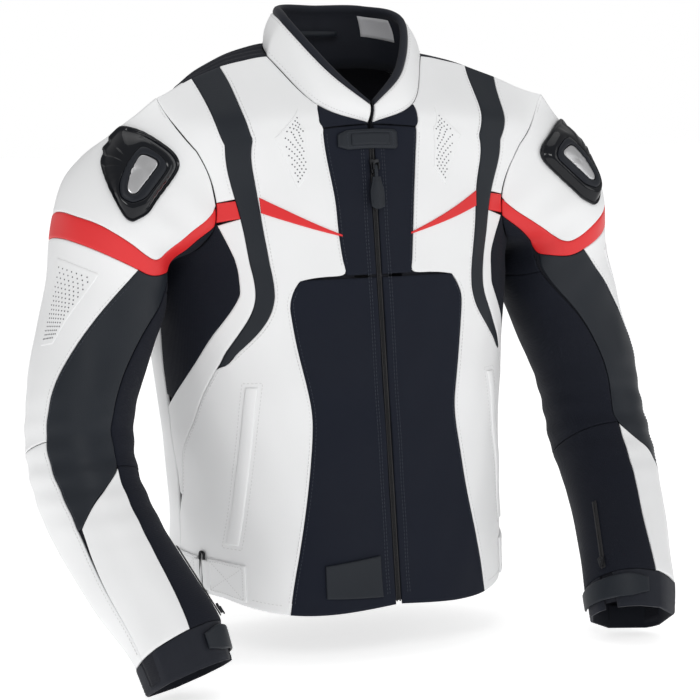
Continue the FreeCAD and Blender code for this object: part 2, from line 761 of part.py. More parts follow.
def collar_tab():
    """Leather tab across the top of the zip, hinged at the wearer's left end."""
    points_out, points_in = [], []
    for i in range(9):
        x = mix(COLLAR_TAB_REACH[0], COLLAR_TAB_REACH[1], i / 8)
        out_line, in_line = [], []
        for j in range(3):
            up = COLLAR_TAB_UP + COLLAR_TAB_HALF * (j - 1)
            v = up / FRONT_LENGTH * V_PIT
            p = front(share_at(v, abs(x)), v)
            seat = V(x, p.y, p.z)
            in_line.append(seat + ZIP_OUT * TAB_LIFT)
            out_line.append(seat + ZIP_OUT * (TAB_LIFT + STRAP_WALL))
        points_out.append(out_line)
        points_in.append(in_line)
    return slab(points_out, points_in)


def hem_tab_area(a, b):
    """Tapered towards the wearer's right."""
    x = mix(HEM_TAB_X[1], HEM_TAB_X[0], a)
    middle, half = sum(HEM_TAB_V) / 2, (HEM_TAB_V[1] - HEM_TAB_V[0]) / 2
    v = middle + half * (2 * b - 1) * mix(1.0, 0.72, a)
    return share_at(v, abs(x)), v


def hem_tab():
    return mirrored(patch(front, hem_tab_area, TAB_LIFT, lambda a, b: TAB_LIFT + STRAP_WALL, rows=6, columns=4))


V_STRAP = (0.008, 0.072)
BUCKLE_U = 0.825


def waist_tab():
    """Cross-stitched patch that holds the buckle's loop."""
    area = four_corners((0.59, V_STRAP[0]), (0.79, V_STRAP[0]), (0.79, V_STRAP[1]), (0.59, V_STRAP[1]))
    return patch(front, area, LIFT, lambda a, b: LIFT + STRAP_WALL, rows=5, columns=4)


def waist_strap():
    """Rear adjuster strap, round the side seam on to the back."""
    def front_part(a, b):
        return mix(0.852, 0.998, a), mix(*V_STRAP, b)

    def back_part(a, b):
        return mix(0.55, 0.998, a), mix(*V_STRAP, b)
    return [patch(front, front_part, LIFT, lambda a, b: LIFT + STRAP_WALL, rows=4, columns=4),
            patch(back, back_part, LIFT, lambda a, b: LIFT + STRAP_WALL, rows=6, columns=4)]


def waist_buckle():
    """Rectangular wire buckle between the patch and the strap."""
    base = front(BUCKLE_U, sum(V_STRAP) / 2)
    n = normal(front, BUCKLE_U, sum(V_STRAP) / 2)
    across = V(0, 0, 1).cross(n).normalize()
    up = n.cross(across).normalize()
    centre = base + n * (BUCKLE_BAR / 2 + LIFT)
    half_tall = STRAP_HEIGHT / 2 + 3 + BUCKLE_BAR
    frame = Part.makeBox(8, BUCKLE_BAR, 2 * half_tall, V(-4, -BUCKLE_BAR / 2, -half_tall))
    window = Part.makeBox(3.2, BUCKLE_BAR + 2, 2 * half_tall - 2 * BUCKLE_BAR,
                          V(-1.6, -BUCKLE_BAR / 2 - 1, -half_tall + BUCKLE_BAR))
    frame = frame.cut(window)
    frame.Placement = FreeCAD.Placement(centre, FreeCAD.Rotation(across, -n, up, "XZY"))
    return frame


def pocket_welt():
    """Stitched welt over the slanted pocket zip."""
    area = four_corners((0.62, 0.105), (0.685, 0.105), (0.51, 0.39), (0.455, 0.39))
    return patch(front, area, LIFT, lambda a, b: LIFT + 1.4 + 0.8 * math.sin(math.pi * a), rows=4, columns=10)


# ---------------------------------------------------------------- inside the body
LINING_TOP = -WALL - LINING_GAP
PAD_TOP = LINING_TOP - LINING_WALL - LINING_GAP


def front_lining():
    """Thin lining, kept just inside every outer seam."""
    outer = [(0.985, v) for v in (0.02, 0.18, 0.34, 0.48, 0.585)]
    outer += [(0.89, 0.596), (0.79, 0.605), (0.68, 0.62), (0.62, 0.66), (0.63, 0.70)]
    outer += [(0.69, 0.755), (0.79, 0.84), (0.90, 0.93), (0.93, 0.97)]
    heights = (0.02, 0.13, 0.25, 0.36, 0.44, 0.48, 0.52, 0.56, 0.61, 0.66, 0.72, 0.80, 0.89, 0.97)
    inner = [(0.06, v) for v in heights]
    area = strip(knots(*inner), knots(*outer))
    return patch(front, area, LINING_TOP - LINING_WALL, lambda a, b: LINING_TOP, rows=8, columns=28)


def back_lining():
    edge = [(0.02, 0.985), (0.54, 0.985), (0.60, 0.93), (0.66, 0.83), (0.72, 0.82), (0.85, 0.84)]
    area = across_back(lambda v: curve(edge, v), 0.02, 0.85)
    return patch(back, area, LINING_TOP - LINING_WALL, lambda a, b: LINING_TOP, rows=24, columns=24)


def back_pad():
    """Foam pad in the lining's pocket, thinned to its rim."""
    def area(a, b):
        x, y = rounded(0.3)(a, b)
        w = 2 * x - 1
        return math.copysign(abs(w) ** 1.3, w) * 0.36, mix(0.26, 0.72, y)

    outer = grid(back, area, lambda a, b: PAD_TOP, 10, 10)
    inner = grid(back, area, lambda a, b: PAD_TOP - PAD_WALL, 10, 10)
    return slab(outer, inner)


# ---------------------------------------------------------------- sleeve seams
HALF_BAND_TOP = [(0.0, 100), (0.04, 110), (0.08, 119), (0.12, 125), (0.155, 123), (0.18, 117), (0.192, 110),
                 (0.196, 101), (0.196, 92), (0.195, 80), (0.196, 55), (0.20, 25)]
HALF_BAND_BOTTOM = [(0.0, 113), (0.04, 126), (0.08, 140), (0.12, 149), (0.168, 146), (0.207, 131), (0.232, 116),
                    (0.241, 104), (0.241, 92), (0.240, 80), (0.238, 55), (0.236, 25)]


def both_ways(half):
    """Edge that runs round the sleeve, the same in front and behind."""
    middle = (half[-1][0] - 0.001, 0)
    return half + [middle] + [(s, -angle) for s, angle in reversed(half)]


BAND_TOP = both_ways(HALF_BAND_TOP)
BAND_BOTTOM = both_ways(HALF_BAND_BOTTOM)
BACK_SEAM = -80           # back seam between the outer sleeve and the stretch panels
ELBOW_OUTER = [(0.245, 92), (0.30, 74), (0.38, 54), (0.47, 36), (0.55, 28), (0.62, 31), (0.66, 32), (0.70, 31),
               (0.722, 29)]
ELBOW_INNER = [(0.175, 150), (0.24, 143), (0.31, 128), (0.38, 112), (0.45, 105), (0.54, 103), (0.635, 102),
               (0.675, 78), (0.705, 50), (0.724, 33)]
FOREARM_TIP = 0.722
S_GUSSET = 0.258          # underarm gusset meets the inner stretch panel
S_WRIST = 0.945


def elbow_outer(s):
    """Angle of the seam between the white outer sleeve and the elbow panel."""
    return curve(ELBOW_OUTER, s)


def elbow_inner(s):
    """Angle of the seam between the elbow panel and the stretch panels."""
    return curve(ELBOW_INNER, s)


def seam_points(edge, s0, s1, count):
    """Points (s, edge(s)) at even shares of the sleeve."""
    return [(mix(s0, s1, i / (count - 1)), edge(mix(s0, s1, i / (count - 1)))) for i in range(count)]


def bordered(area, border):
    """The same area with its first border laid along border(a)."""
    def fitted(a, b):
        p, q = area(a, b)
        p0, q0 = area(a, 0)
        p1, q1 = border(a)
        return p + (p1 - p0) * (1 - b)**3, q + (q1 - q0) * (1 - b)**3
    return fitted


def below_band(area, start, end):
    """The same area with its first border along the red band, between two of its knots."""
    last = len(BAND_BOTTOM) - 1
    band = knots(*BAND_BOTTOM)

    def border(a):
        p = curve(band, mix(start, end, a) / last)
        return p.x, p.y
    return bordered(area, border)


ROOT_GAP = 0.0025         # share of the sleeve left open at the armhole
CAP_END = 0.03            # the cap stops short of the band's two ends


def sleeve_cap():
    """White head of the sleeve, over the shoulder down to the red band."""
    low = knots(*BAND_TOP)
    reach = BAND_TOP[0][1]
    rim = knots((ROOT_GAP, reach), (ROOT_GAP, -reach))
    area = strip(rim, low)

    def held(a, b):
        return area(a, mix(CAP_END, 1 - CAP_END, b))
    return panel(sleeve, held, WALL, rows=8, columns=32)


def red_band():
    return panel(sleeve, strip(knots(*BAND_TOP), knots(*BAND_BOTTOM)), WALL, rows=3, columns=48)


def underarm_gusset():
    """Stretch fabric under the arm, from the armhole to the inner sleeve."""
    front_seam = HALF_BAND_BOTTOM[:4] + [(0.17, 151)] + seam_points(elbow_inner, 0.20, S_GUSSET, 3)
    rear_seam = [(s, 360 - angle) for s, angle in HALF_BAND_BOTTOM[:6]] + [(S_GUSSET, 246)]
    area = strip(knots(*front_seam), knots(*rear_seam))
    return panel(sleeve, area, STRETCH_WALL, rows=10, columns=20)


def upper_outer():
    """White outer sleeve with the air vent, down to the elbow seam."""
    front_seam = seam_points(elbow_outer, ELBOW_OUTER[0][0], ELBOW_SHARE, 14)
    rear_seam = [(s, BACK_SEAM) for s, angle in front_seam]
    area = below_band(strip(knots(*front_seam), knots(*rear_seam)), 8, 15)
    return panel(sleeve, area, WALL, rows=10, columns=20)


def elbow_panel():
    """Dark leather over the front of the elbow, pointed on the forearm."""
    near = seam_points(elbow_outer, ELBOW_OUTER[0][0], FOREARM_TIP, 24)
    far = seam_points(elbow_inner, ELBOW_INNER[0][0], FOREARM_TIP, 24)
    area = below_band(strip(knots(*near), knots(*far)), 8, 4)
    return panel(sleeve, area, WALL, rows=6, columns=40)


def elbow_gusset():
    """Stretch fabric inside the elbow."""
    near = seam_points(elbow_inner, S_GUSSET, 0.635, 16)
    far = [(s, 360 + BACK_SEAM) for s, angle in near]
    return panel(sleeve, strip(knots(*near), knots(*far)), STRETCH_WALL, rows=8, columns=24)


def forearm_edge(s):
    return curve([(0.635, 102), (0.74, 97), (0.84, 92), (S_WRIST, 82)], s)


def forearm_seam(s):
    return curve([(FOREARM_TIP, 29), (0.84, 18), (S_WRIST, 8)], s)


def forearm_outer():
    near = seam_points(elbow_outer, 0.562, FOREARM_TIP, 8) + seam_points(forearm_seam, 0.74, S_WRIST, 9)
    far = [(s, BACK_SEAM) for s, angle in near]
    return panel(sleeve, strip(knots(*near), knots(*far)), WALL, rows=8, columns=28)


def forearm_front():
    """White panel from the elbow panel's point down to the cuff."""
    near = seam_points(forearm_seam, FOREARM_TIP + 0.006, S_WRIST, 10)
    far = seam_points(forearm_edge, 0.645, S_WRIST, 10)

    def border(a):
        s = mix(FOREARM_TIP, 0.639, a)
        return s + 0.006, elbow_inner(s)
    return panel(sleeve, bordered(strip(knots(*near), knots(*far)), border), WALL, rows=8, columns=20)


def forearm_inner():
    area = between(forearm_edge, lambda s: 360 + BACK_SEAM, 0.64, S_WRIST)
    return panel(sleeve, lambda a, b: area(a, b)[::-1], STRETCH_WALL, rows=8, columns=20)


CUFF_SLIT = 152           # the cuff is open along its zip


def cuff():
    def area(a, b):
        return mix(S_WRIST, 1.0, a), mix(CUFF_SLIT + 3, CUFF_SLIT + 357, b)
    ring = panel(sleeve, area, CUFF_WALL, rows=3, columns=36, lift=0.6)
    return [ring, cuff_zip_chain()]


STRAP_S = (0.952, 0.985)
STRAP_ANGLE = (96, 208)


def cuff_strap():
    def area(a, b):
        taper = mix(0.62, 1.0, min(b * 5, 1.0))
        middle, half = sum(STRAP_S) / 2, (STRAP_S[1] - STRAP_S[0]) / 2
        return middle + half * taper * (2 * a - 1), mix(*STRAP_ANGLE, b)
    return patch(sleeve, area, 1.0, lambda a, b: 1.0 + STRAP_WALL, rows=3, columns=12)


CUFF_ZIP_S = (0.80, 0.935)
CUFF_ZIP_BASE = 1.6       # the chain's height over the sleeve's form
CUFF_ZIP_WALL = 1.6
CUFF_SLIDER_LENGTH = 11


def cuff_zip_line():
    """Straight line of the cuff zip: its two ends and the way out from the sleeve."""
    ends = [sleeve(s, CUFF_SLIT) for s in CUFF_ZIP_S]
    out = normal(sleeve, sum(CUFF_ZIP_S) / 2, CUFF_SLIT)
    along = (ends[1] - ends[0]).normalize()
    out = (out - along * out.dot(along)).normalize()
    return ends, along, out


def along_box(start, along, out, length, half, base, top):
    """Box that runs along a line, from height base to height top."""
    across = out.cross(along).normalize()
    corner = start - across * half + out * base
    box = Part.makeBox(2 * half, top - base, length)
    box.Placement = FreeCAD.Placement(corner, FreeCAD.Rotation(across, out, along, "XYZ"))
    return box


def cuff_zip_chain():
    ends, along, out = cuff_zip_line()
    length = (ends[1] - ends[0]).Length
    return along_box(ends[0], along, out, length, 3.0, CUFF_ZIP_BASE, CUFF_ZIP_BASE + CUFF_ZIP_WALL)


def cuff_zip_slider():
    ends, along, out = cuff_zip_line()
    length = (ends[1] - ends[0]).Length
    start = ends[0] + along * (length - CUFF_SLIDER_LENGTH - 2)
    low = CUFF_ZIP_BASE + CUFF_ZIP_WALL + 0.3
    body = along_box(start, along, out, CUFF_SLIDER_LENGTH, 4.5, low, low + 2.4)
    tail = along_box(start + along * 4, along, out, 10, 2.2, low + 2.0, low + 3.6)
    return body.fuse(tail).removeSplitter()


# ---------------------------------------------------------------- armour
CUP_AREA = four_corners((0.055, -8), (0.018, 71), (0.172, 93), (0.15, 26), corner=0.36)


def cup_height(a, b):
    x, y = 2 * a - 1, 2 * b - 1
    return CUP_EDGE + CUP_DOME * (1 - x**4) * (1 - y**4)


def shoulder_cup():
    return patch(sleeve, CUP_AREA, CUP_LIFT, lambda a, b: CUP_LIFT + cup_height(a, b), rows=12, columns=16)


def shoulder_plate():
    """Brushed metal plate let into the cup's crown."""
    inset = four_corners((0.30, 0.30), (0.72, 0.30), (0.60, 0.76), (0.34, 0.70), corner=0.12)

    def area(a, b):
        return CUP_AREA(*inset(a, b))

    def seat(a, b):
        return CUP_LIFT + cup_height(*inset(a, b)) + LIFT
    outer = grid(sleeve, area, lambda a, b: seat(a, b) + PLATE_WALL, 6, 6)
    inner = grid(sleeve, area, seat, 6, 6)
    return slab(outer, inner)


def shoulder_armour():
    area = four_corners((0.09, -34), (0.07, 62), (0.19, 62), (0.19, -34), corner=0.3)
    top = -WALL - PAD_GAP
    return patch(sleeve, area, top - PAD_WALL, lambda a, b: top, rows=10, columns=8)


def elbow_armour():
    area = four_corners((0.44, 34), (0.44, 98), (0.64, 92), (0.64, 38), corner=0.3)
    top = -WALL - PAD_GAP
    return patch(sleeve, area, top - PAD_WALL, lambda a, b: top, rows=10, columns=8)


# ---------------------------------------------------------------- export
def write(name, solids):
    moved = []
    for solid in solids:
        copy = solid.copy()
        copy.translate(HOOK * -1)
        moved.append(copy)
    shape = moved[0] if len(moved) == 1 else Part.makeCompound(moved)
    bad = [s for s in moved if not s.isValid() or s.Volume <= 0]
    box = shape.BoundBox
    print(name, len(moved), "solids", round(shape.Volume / 1000, 1), "cm3",
          [round(x) for x in (box.XMin, box.XMax, box.YMin, box.YMax, box.ZMin, box.ZMax)],
          "INVALID" if bad else "")
    shape.exportStep("parts/" + name + ".step")


def as_list(made):
    return made if isinstance(made, list) else [made]


def write_pair(name, made):
    """Left and right nodes from one left-hand piece."""
    solids = as_list(made)
    write(name + "_left", solids)
    write(name + "_right", [mirrored(s) for s in solids])


def write_group(name, made):
    """One node that holds a left-hand piece and its mirror image."""
    solids = as_list(made)
    write(name, solids + [mirrored(s) for s in solids])


def build_body():
    write_pair("front_panel", front_panel())
    write_group("lower_centre_panels", lower_centre())
    write_group("upper_plackets", upper_placket())
    write_group("shoulder_stripes", shoulder_stripe())
    write_group("side_panels", side_panel())
    write_group("side_stretch_panels", side_stretch())
    write_group("shoulder_panels", [shoulder_front(), shoulder_back()])
    write_group("chest_flashes", [armhole_flash(), chest_flash()])
    write_group("back_side_panels", back_side())
    write("back_yoke", [back_yoke(), yoke_shoulder(), mirrored(yoke_shoulder())])
    write("back_centre_panel", [back_centre_panel()])
    write_group("accordion_panels", accordion())
    write("collar_shell", [collar_shell()])
    write("collar_facing", [collar_facing()])
    write("hanger_loop", [hanger_loop()])
    lining = front_lining()
    write("body_lining", [lining, mirrored(lining), back_lining()])
    write("back_pad", [back_pad()])


def build_fittings():
    write("front_zip_chain", [zip_chain()])
    write("front_zip_slider", [zip_slider()])
    write("front_zip_puller", [zip_puller()])
    write("collar_tab", [collar_tab()])
    write("hem_tab", [hem_tab()])
    write_group("waist_tabs", waist_tab())
    write_group("waist_straps", waist_strap())
    write_pair("waist_buckle", waist_buckle())
    write_group("pocket_welts", pocket_welt())


def build_sleeves():
    makers = [sleeve_cap, red_band, underarm_gusset, upper_outer, elbow_panel, elbow_gusset, forearm_outer,
              forearm_front, forearm_inner, cuff, cuff_strap, cuff_zip_slider, shoulder_cup, shoulder_plate,
              shoulder_armour, elbow_armour]
    for maker in makers:
        write_pair(maker.__name__, maker())


os.makedirs("parts", exist_ok=True)
build_body()
build_fittings()
build_sleeves()
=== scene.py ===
import math
import bpy
import numpy as np
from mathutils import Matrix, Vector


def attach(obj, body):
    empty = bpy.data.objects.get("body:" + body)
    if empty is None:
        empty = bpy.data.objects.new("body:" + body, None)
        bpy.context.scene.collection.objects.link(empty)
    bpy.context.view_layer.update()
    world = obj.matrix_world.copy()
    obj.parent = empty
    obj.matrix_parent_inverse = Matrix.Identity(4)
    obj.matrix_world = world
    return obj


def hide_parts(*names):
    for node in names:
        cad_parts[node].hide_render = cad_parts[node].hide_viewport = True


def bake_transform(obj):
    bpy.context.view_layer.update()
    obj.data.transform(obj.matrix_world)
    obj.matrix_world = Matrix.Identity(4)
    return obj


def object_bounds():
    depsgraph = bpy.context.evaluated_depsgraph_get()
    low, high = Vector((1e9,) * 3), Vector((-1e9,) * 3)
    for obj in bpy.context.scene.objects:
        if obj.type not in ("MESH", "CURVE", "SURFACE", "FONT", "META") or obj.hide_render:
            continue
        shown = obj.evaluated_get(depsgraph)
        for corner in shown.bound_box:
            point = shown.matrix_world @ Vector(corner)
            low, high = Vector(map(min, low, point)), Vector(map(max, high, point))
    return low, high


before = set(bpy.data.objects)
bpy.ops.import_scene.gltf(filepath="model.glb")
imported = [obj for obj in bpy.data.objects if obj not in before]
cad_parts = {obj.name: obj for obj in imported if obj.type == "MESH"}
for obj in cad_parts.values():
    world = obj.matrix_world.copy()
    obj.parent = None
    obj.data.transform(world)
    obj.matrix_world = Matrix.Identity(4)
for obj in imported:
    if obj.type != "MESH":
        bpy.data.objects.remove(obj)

CAD_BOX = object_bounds()

# Leather riding jacket. The forms are worked out in millimetres: X to the wearer's left,
# Y to the back, Z up from the front hem. HOOK is where the row frame has its origin.
FRONT_LENGTH = 536
HEM_FRONT_Y, PIT_Y = -115, -48
HALF_CHEST = 226
HALF_HEM, HALF_WAIST, HALF_SHOULDER = HALF_CHEST - 27, HALF_CHEST - 13, HALF_CHEST + 22
SHOULDER_Z, ARMPIT_Z, NAPE_Z = FRONT_LENGTH + 30, FRONT_LENGTH - 152, FRONT_LENGTH + 86
BACK_HEM_Y, BACK_WAIST_Y, BACK_BLADE_Y, NAPE_Y = 150, 175, 184, 92
TRUNK_HALF_DEPTH = 130
NECK_HALF = 100
HEM_DIP = 9
WALL, STRETCH_WALL, LINING_WALL, LINING_GAP = 3.0, 2.6, 1.0, 0.6
PAD_WALL, PAD_GAP = 8.0, 0.6
SEAM, LIFT = 0.9, 0.35
COLLAR_WALL, FACING_WALL = 3.4, 2.6
V_PIT, V_ARMPIT, V_NAPE, V_STEP, V_YOKE, V_ACCORDION = 0.84, 0.60, 0.88, 0.575, 0.68, 0.90
SEAM_ANGLE = 200


def V(x, y, z):
    return np.array([x, y, z], float)


HOOK = V(0, 81.15, 636)


# ---- curves
def hermite(at, points, t):
    """Smooth curve through points at the parameters at, flat outside them, for many t."""
    at = np.asarray(at, float)
    t = np.clip(np.asarray(t, float), at[0], at[-1])
    i = np.clip(np.searchsorted(at, t, side="left") - 1, 0, len(at) - 2)
    before, after = np.maximum(i - 1, 0), np.minimum(i + 2, len(at) - 1)
    flat = points.ndim == 1
    many = points.ndim == 3
    each = np.arange(len(t)) if many else None

    def pick(k):
        return points[k, each] if many else points[k]

    def wide(x):
        return x if flat else x[:, None]
    p0, p1 = pick(i), pick(i + 1)
    m0 = (p1 - pick(before)) / wide(at[i + 1] - at[before])
    m1 = (pick(after) - p0) / wide(at[after] - at[i])
    h = wide(at[i + 1] - at[i])
    s = wide(t - at[i]) / h
    return (p0 * (2 * s**3 - 3 * s**2 + 1) + m0 * (s**3 - 2 * s**2 + s) * h
            + p1 * (3 * s**2 - 2 * s**3) + m1 * (s**3 - s**2) * h)


def curve(knots, t):
    """Smooth curve through (parameter, value) knots."""
    t = np.atleast_1d(np.asarray(t, float))
    return hermite([k[0] for k in knots], np.array([k[1] for k in knots], float), t)


def smooth(t):
    t = np.clip(t, 0, 1)
    return t * t * (3 - 2 * t)


def mix(a, b, t):
    return a + (b - a) * t


def unit(v):
    return v / np.maximum(np.linalg.norm(v, axis=-1, keepdims=True), 1e-9)


# ---- trunk
NECK_POINT = V(NECK_HALF, 12, NAPE_Z - 10)
SHOULDER_TIP = V(HALF_SHOULDER, -16, SHOULDER_Z)
ARMPIT = V(HALF_CHEST, 46, ARMPIT_Z)
PIT, NAPE = V(0, PIT_Y, FRONT_LENGTH), V(0, NAPE_Y, NAPE_Z)
FRONT_NECK = [(0, PIT), (0.5, V(0.62 * NECK_HALF, -36, FRONT_LENGTH + 22)), (1, NECK_POINT)]
BACK_NECK = [(0, NAPE), (0.5, V(0.68 * NECK_HALF, NAPE_Y - 16, NAPE_Z + 2)), (1, NECK_POINT)]
SIDE_SEAM = [(0, V(HALF_HEM, 38, 14)), (0.2, V(HALF_HEM + 2, 40, ARMPIT_Z - 254)),
             (0.41, V(HALF_WAIST, 50, ARMPIT_Z - 124)), (V_ARMPIT, ARMPIT)]
FRONT_SIDE = [(V_ARMPIT, ARMPIT), (0.70, V(HALF_CHEST + 2, 6, ARMPIT_Z + 60)),
              (0.85, V(HALF_CHEST + 10, -26, SHOULDER_Z - 58)), (1, SHOULDER_TIP)]
BACK_SIDE = [(V_ARMPIT, ARMPIT), (0.70, V(HALF_CHEST + 2, 84, ARMPIT_Z + 60)),
             (0.85, V(HALF_CHEST + 10, 66, SHOULDER_Z - 58)), (1, SHOULDER_TIP)]
RIM = [(0, (0.995, 1.0)), (30, (0.93, 0.94)), (60, (0.82, 0.84)), (85, (0.71, 0.75)), (110, (0.645, 0.675)),
       (135, (0.69, 0.632)), (160, (0.80, 0.615)), (180, (0.90, 0.606)), (SEAM_ANGLE, (1.0, V_ARMPIT))]
BACK_RIM = [(SEAM_ANGLE, (1.0, V_ARMPIT)), (225, (0.90, 0.622)), (245, (0.86, 0.67)), (270, (0.84, 0.77)),
            (300, (0.875, 0.86)), (330, (0.94, 0.94)), (360, (0.995, 1.0))]
CENTRE_BACK = [(0, V(0, BACK_HEM_Y, 8)), (0.2, V(0, BACK_HEM_Y, NAPE_Z - 492)),
               (0.45, V(0, BACK_WAIST_Y, NAPE_Z - 322)), (0.65, V(0, BACK_BLADE_Y, NAPE_Z - 192)),
               (0.79, V(0, 152, NAPE_Z - 70)), (V_NAPE, NAPE)]


def either(test, first, second):
    return np.where(test[:, None], first, second)


def front_centre(v):
    zip_line = mix(V(0, HEM_FRONT_Y, 0)[None], PIT[None], (v / V_PIT)[:, None])
    return either(v <= V_PIT, zip_line, curve(FRONT_NECK, (v - V_PIT) / (1 - V_PIT)))


def back_centre(v):
    return either(v <= V_NAPE, curve(CENTRE_BACK, v), curve(BACK_NECK, (v - V_NAPE) / (1 - V_NAPE)))


def front_edge(v):
    return either(v <= V_ARMPIT, curve(SIDE_SEAM, v), curve(FRONT_SIDE, v))


def back_edge(v):
    return either(v <= V_ARMPIT, curve(SIDE_SEAM, v), curve(BACK_SIDE, v))


def rim_at(angle):
    angle = np.atleast_1d(np.asarray(angle, float))
    return either(angle <= SEAM_ANGLE, curve(RIM, angle), curve(BACK_RIM, angle))


RIM_ANGLES = np.linspace(SEAM_ANGLE, 360, 400)
RIM_TABLE = rim_at(RIM_ANGLES)


def back_rim(v):
    v = np.atleast_1d(np.asarray(v, float))
    return np.where(v <= V_ARMPIT, 1.0, np.interp(v, np.maximum.accumulate(RIM_TABLE[:, 1]), RIM_TABLE[:, 0]))


def block(u, v, a, b, fullness):
    turn = np.radians(90 - 35 * smooth((v - V_ARMPIT + 0.05) / 0.30))
    across = np.maximum(np.sin(u * turn) / np.sin(turn), 0) ** fullness
    depth = np.maximum((1 - np.cos(u * turn)) / (1 - np.cos(turn)), 0) ** (1 / fullness)
    rise = 0.5 * u + 0.5 * smooth(u)
    return np.stack([mix(a[:, 0], b[:, 0], across), mix(a[:, 1], b[:, 1], depth),
                     mix(a[:, 2], b[:, 2], rise)], -1)


def front(u, v):
    u = np.maximum(u, 0.0)
    p = block(u, v, front_centre(v), front_edge(v), 0.84)
    p[:, 2] -= HEM_DIP * np.sin(np.pi * np.minimum(u * 1.4, 1.0)) * (1 - smooth(v / 0.12))
    return p


def back(u, v):
    fullness = mix(0.74, 0.84, smooth((v - 0.8) / 0.2))
    p = block(np.abs(u), v, back_centre(v), back_edge(v), fullness)
    p[:, 0] = np.where(u < 0, -p[:, 0], p[:, 0])
    return p


# ---- sleeve: share along it, centre, (outer, inner, front, back) half widths
ARM_STATIONS = [(0.14, V(280, 18, 430), (76, 74, 76, 84)), (0.30, V(292, 22, 350), (68, 64, 72, 78)),
                (0.48, V(329, 8, 240), (60, 58, 66, 70)), (0.60, V(337, -12, 165), (58, 56, 62, 68)),
                (0.76, V(323, -74, 84), (55, 53, 58, 60)), (0.93, V(292, -146, 2), (52, 52, 52, 54)),
                (1.00, V(282, -166, -37), (50, 48, 48, 50))]
ROOT_TILT = 48
ELBOW_SHARE = 0.56


def station_axes(k):
    tilt = math.radians(ROOT_TILT)
    down = V(math.sin(tilt), 0, -math.cos(tilt))
    if k > 0:
        after = ARM_STATIONS[min(k + 1, len(ARM_STATIONS) - 1)][1]
        down = unit(after - ARM_STATIONS[k - 1][1])
    forward = unit(np.cross(V(1, 0, 0), down))
    forward = -forward if forward[1] > 0 else forward
    outward = unit(np.cross(down, forward))
    return (-outward if outward[0] < 0 else outward), forward


def arm_ring(k, angle):
    _, centre, widths = ARM_STATIONS[k]
    outward, forward = station_axes(k)
    c, s = np.cos(np.radians(angle)), np.sin(np.radians(angle))
    across = np.where(c > 0, widths[0], widths[1]) * c
    along = np.where(s > 0, widths[2], widths[3]) * s
    return centre + across[:, None] * outward + along[:, None] * forward


def sleeve(s, angle):
    angle = np.asarray(angle, float)
    turned = angle % 360
    rim = rim_at(turned)
    root = either(turned <= SEAM_ANGLE, front(rim[:, 0], rim[:, 1]), back(rim[:, 0], rim[:, 1]))
    rings = np.stack([root] + [arm_ring(k, angle) for k in range(len(ARM_STATIONS))])
    return hermite([0] + [st[0] for st in ARM_STATIONS], rings, s)


# ---- directions out of the garment
def away_from_trunk(p):
    flat = np.stack([p[:, 0] / HALF_CHEST**2, (p[:, 1] - 40) / TRUNK_HALF_DEPTH**2, p[:, 0] * 0], -1)
    return unit(flat)


def normal(form, p, q):
    edge, step = 0.005, 0.004
    turn = 1.0 if form is sleeve else step
    p = np.clip(p, edge - 1 if form is back else edge, 1 - edge)
    if form is not sleeve:
        q = np.clip(q, edge, 1 - edge)
    n = np.cross(unit(form(p + step, q) - form(p - step, q)), unit(form(p, q + turn) - form(p, q - turn)))
    if form is not front:
        n = -n
    if form is not sleeve:
        here = form(p, q)
        lacking = 1 - np.linalg.norm(n, axis=-1, keepdims=True)
        n = n + away_from_trunk(here) * lacking
        side = smooth((np.abs(p) - 0.8) / 0.195)[:, None]
        crest = smooth((q - 0.88) / 0.115)[:, None]
        n = mix(unit(n), away_from_trunk(here), side)
        over = unit(np.stack([0.3 * here[:, 0] / HALF_SHOULDER, here[:, 0] * 0, here[:, 0] * 0 + 1], -1))
        n = mix(unit(n), over, crest)
    return unit(n)


def wrinkle(p):
    """Soft waves of worn leather, in mm, the same on every layer."""
    x, y, z = np.abs(p[:, 0]), p[:, 1], p[:, 2]
    wave = 0.9 * np.sin(0.031 * x + 0.052 * z + 1.2) * np.sin(0.043 * y - 0.020 * z + 0.4)
    wave += 0.5 * np.sin(0.083 * x - 0.061 * z + 2.0) * np.sin(0.071 * y + 0.035 * x)
    elbow = np.exp(-((z - 175) / 60) ** 2) * smooth((x - 250) / 40)
    wave += 0.8 * elbow * np.sin(0.21 * z + 0.05 * y + 0.6 * np.sin(0.04 * x))
    armpit = np.exp(-((z - 400) / 60) ** 2) * np.exp(-((x - 240) / 60) ** 2)
    wave += 1.0 * armpit * np.sin(0.13 * z - 0.09 * x)
    return wave


def raised(form, p, q, height):
    here = form(p, q)
    return here + normal(form, p, q) * (height + wrinkle(here))[:, None]


# ---- areas: (a, b) of the unit square to (share, share or angle)
def between(low, high, v0, v1):
    def area(a, b):
        v = mix(v0, v1, b)
        return mix(low(v), high(v), a), v
    return area


def strip(first, second):
    def area(a, b):
        p = mix(curve(first, b), curve(second, b), a[:, None])
        return np.minimum(p[:, 0], 1.0), p[:, 1]
    return area


def knots(*points):
    last = len(points) - 1
    return [(i / last, (p, q)) for i, (p, q) in enumerate(points)]


def value(f, v):
    return float(np.ravel(f(np.array([v], float)) if callable(f) else f)[0])


def follow(edge, v0, v1, count):
    return [(value(edge, v), float(v)) for v in np.linspace(v0, v1, count)]


def along(points, count):
    found = curve(knots(*points), np.linspace(0, 1, count))
    return [tuple(p) for p in found]


def seam_points(edge, s0, s1, count):
    return [(float(s), value(edge, s)) for s in np.linspace(s0, s1, count)]


def rounded(corner):
    def area(a, b):
        x, y = 2 * a - 1, 2 * b - 1
        return 0.5 + 0.5 * x * np.sqrt(1 - corner * y * y), 0.5 + 0.5 * y * np.sqrt(1 - corner * x * x)
    return area


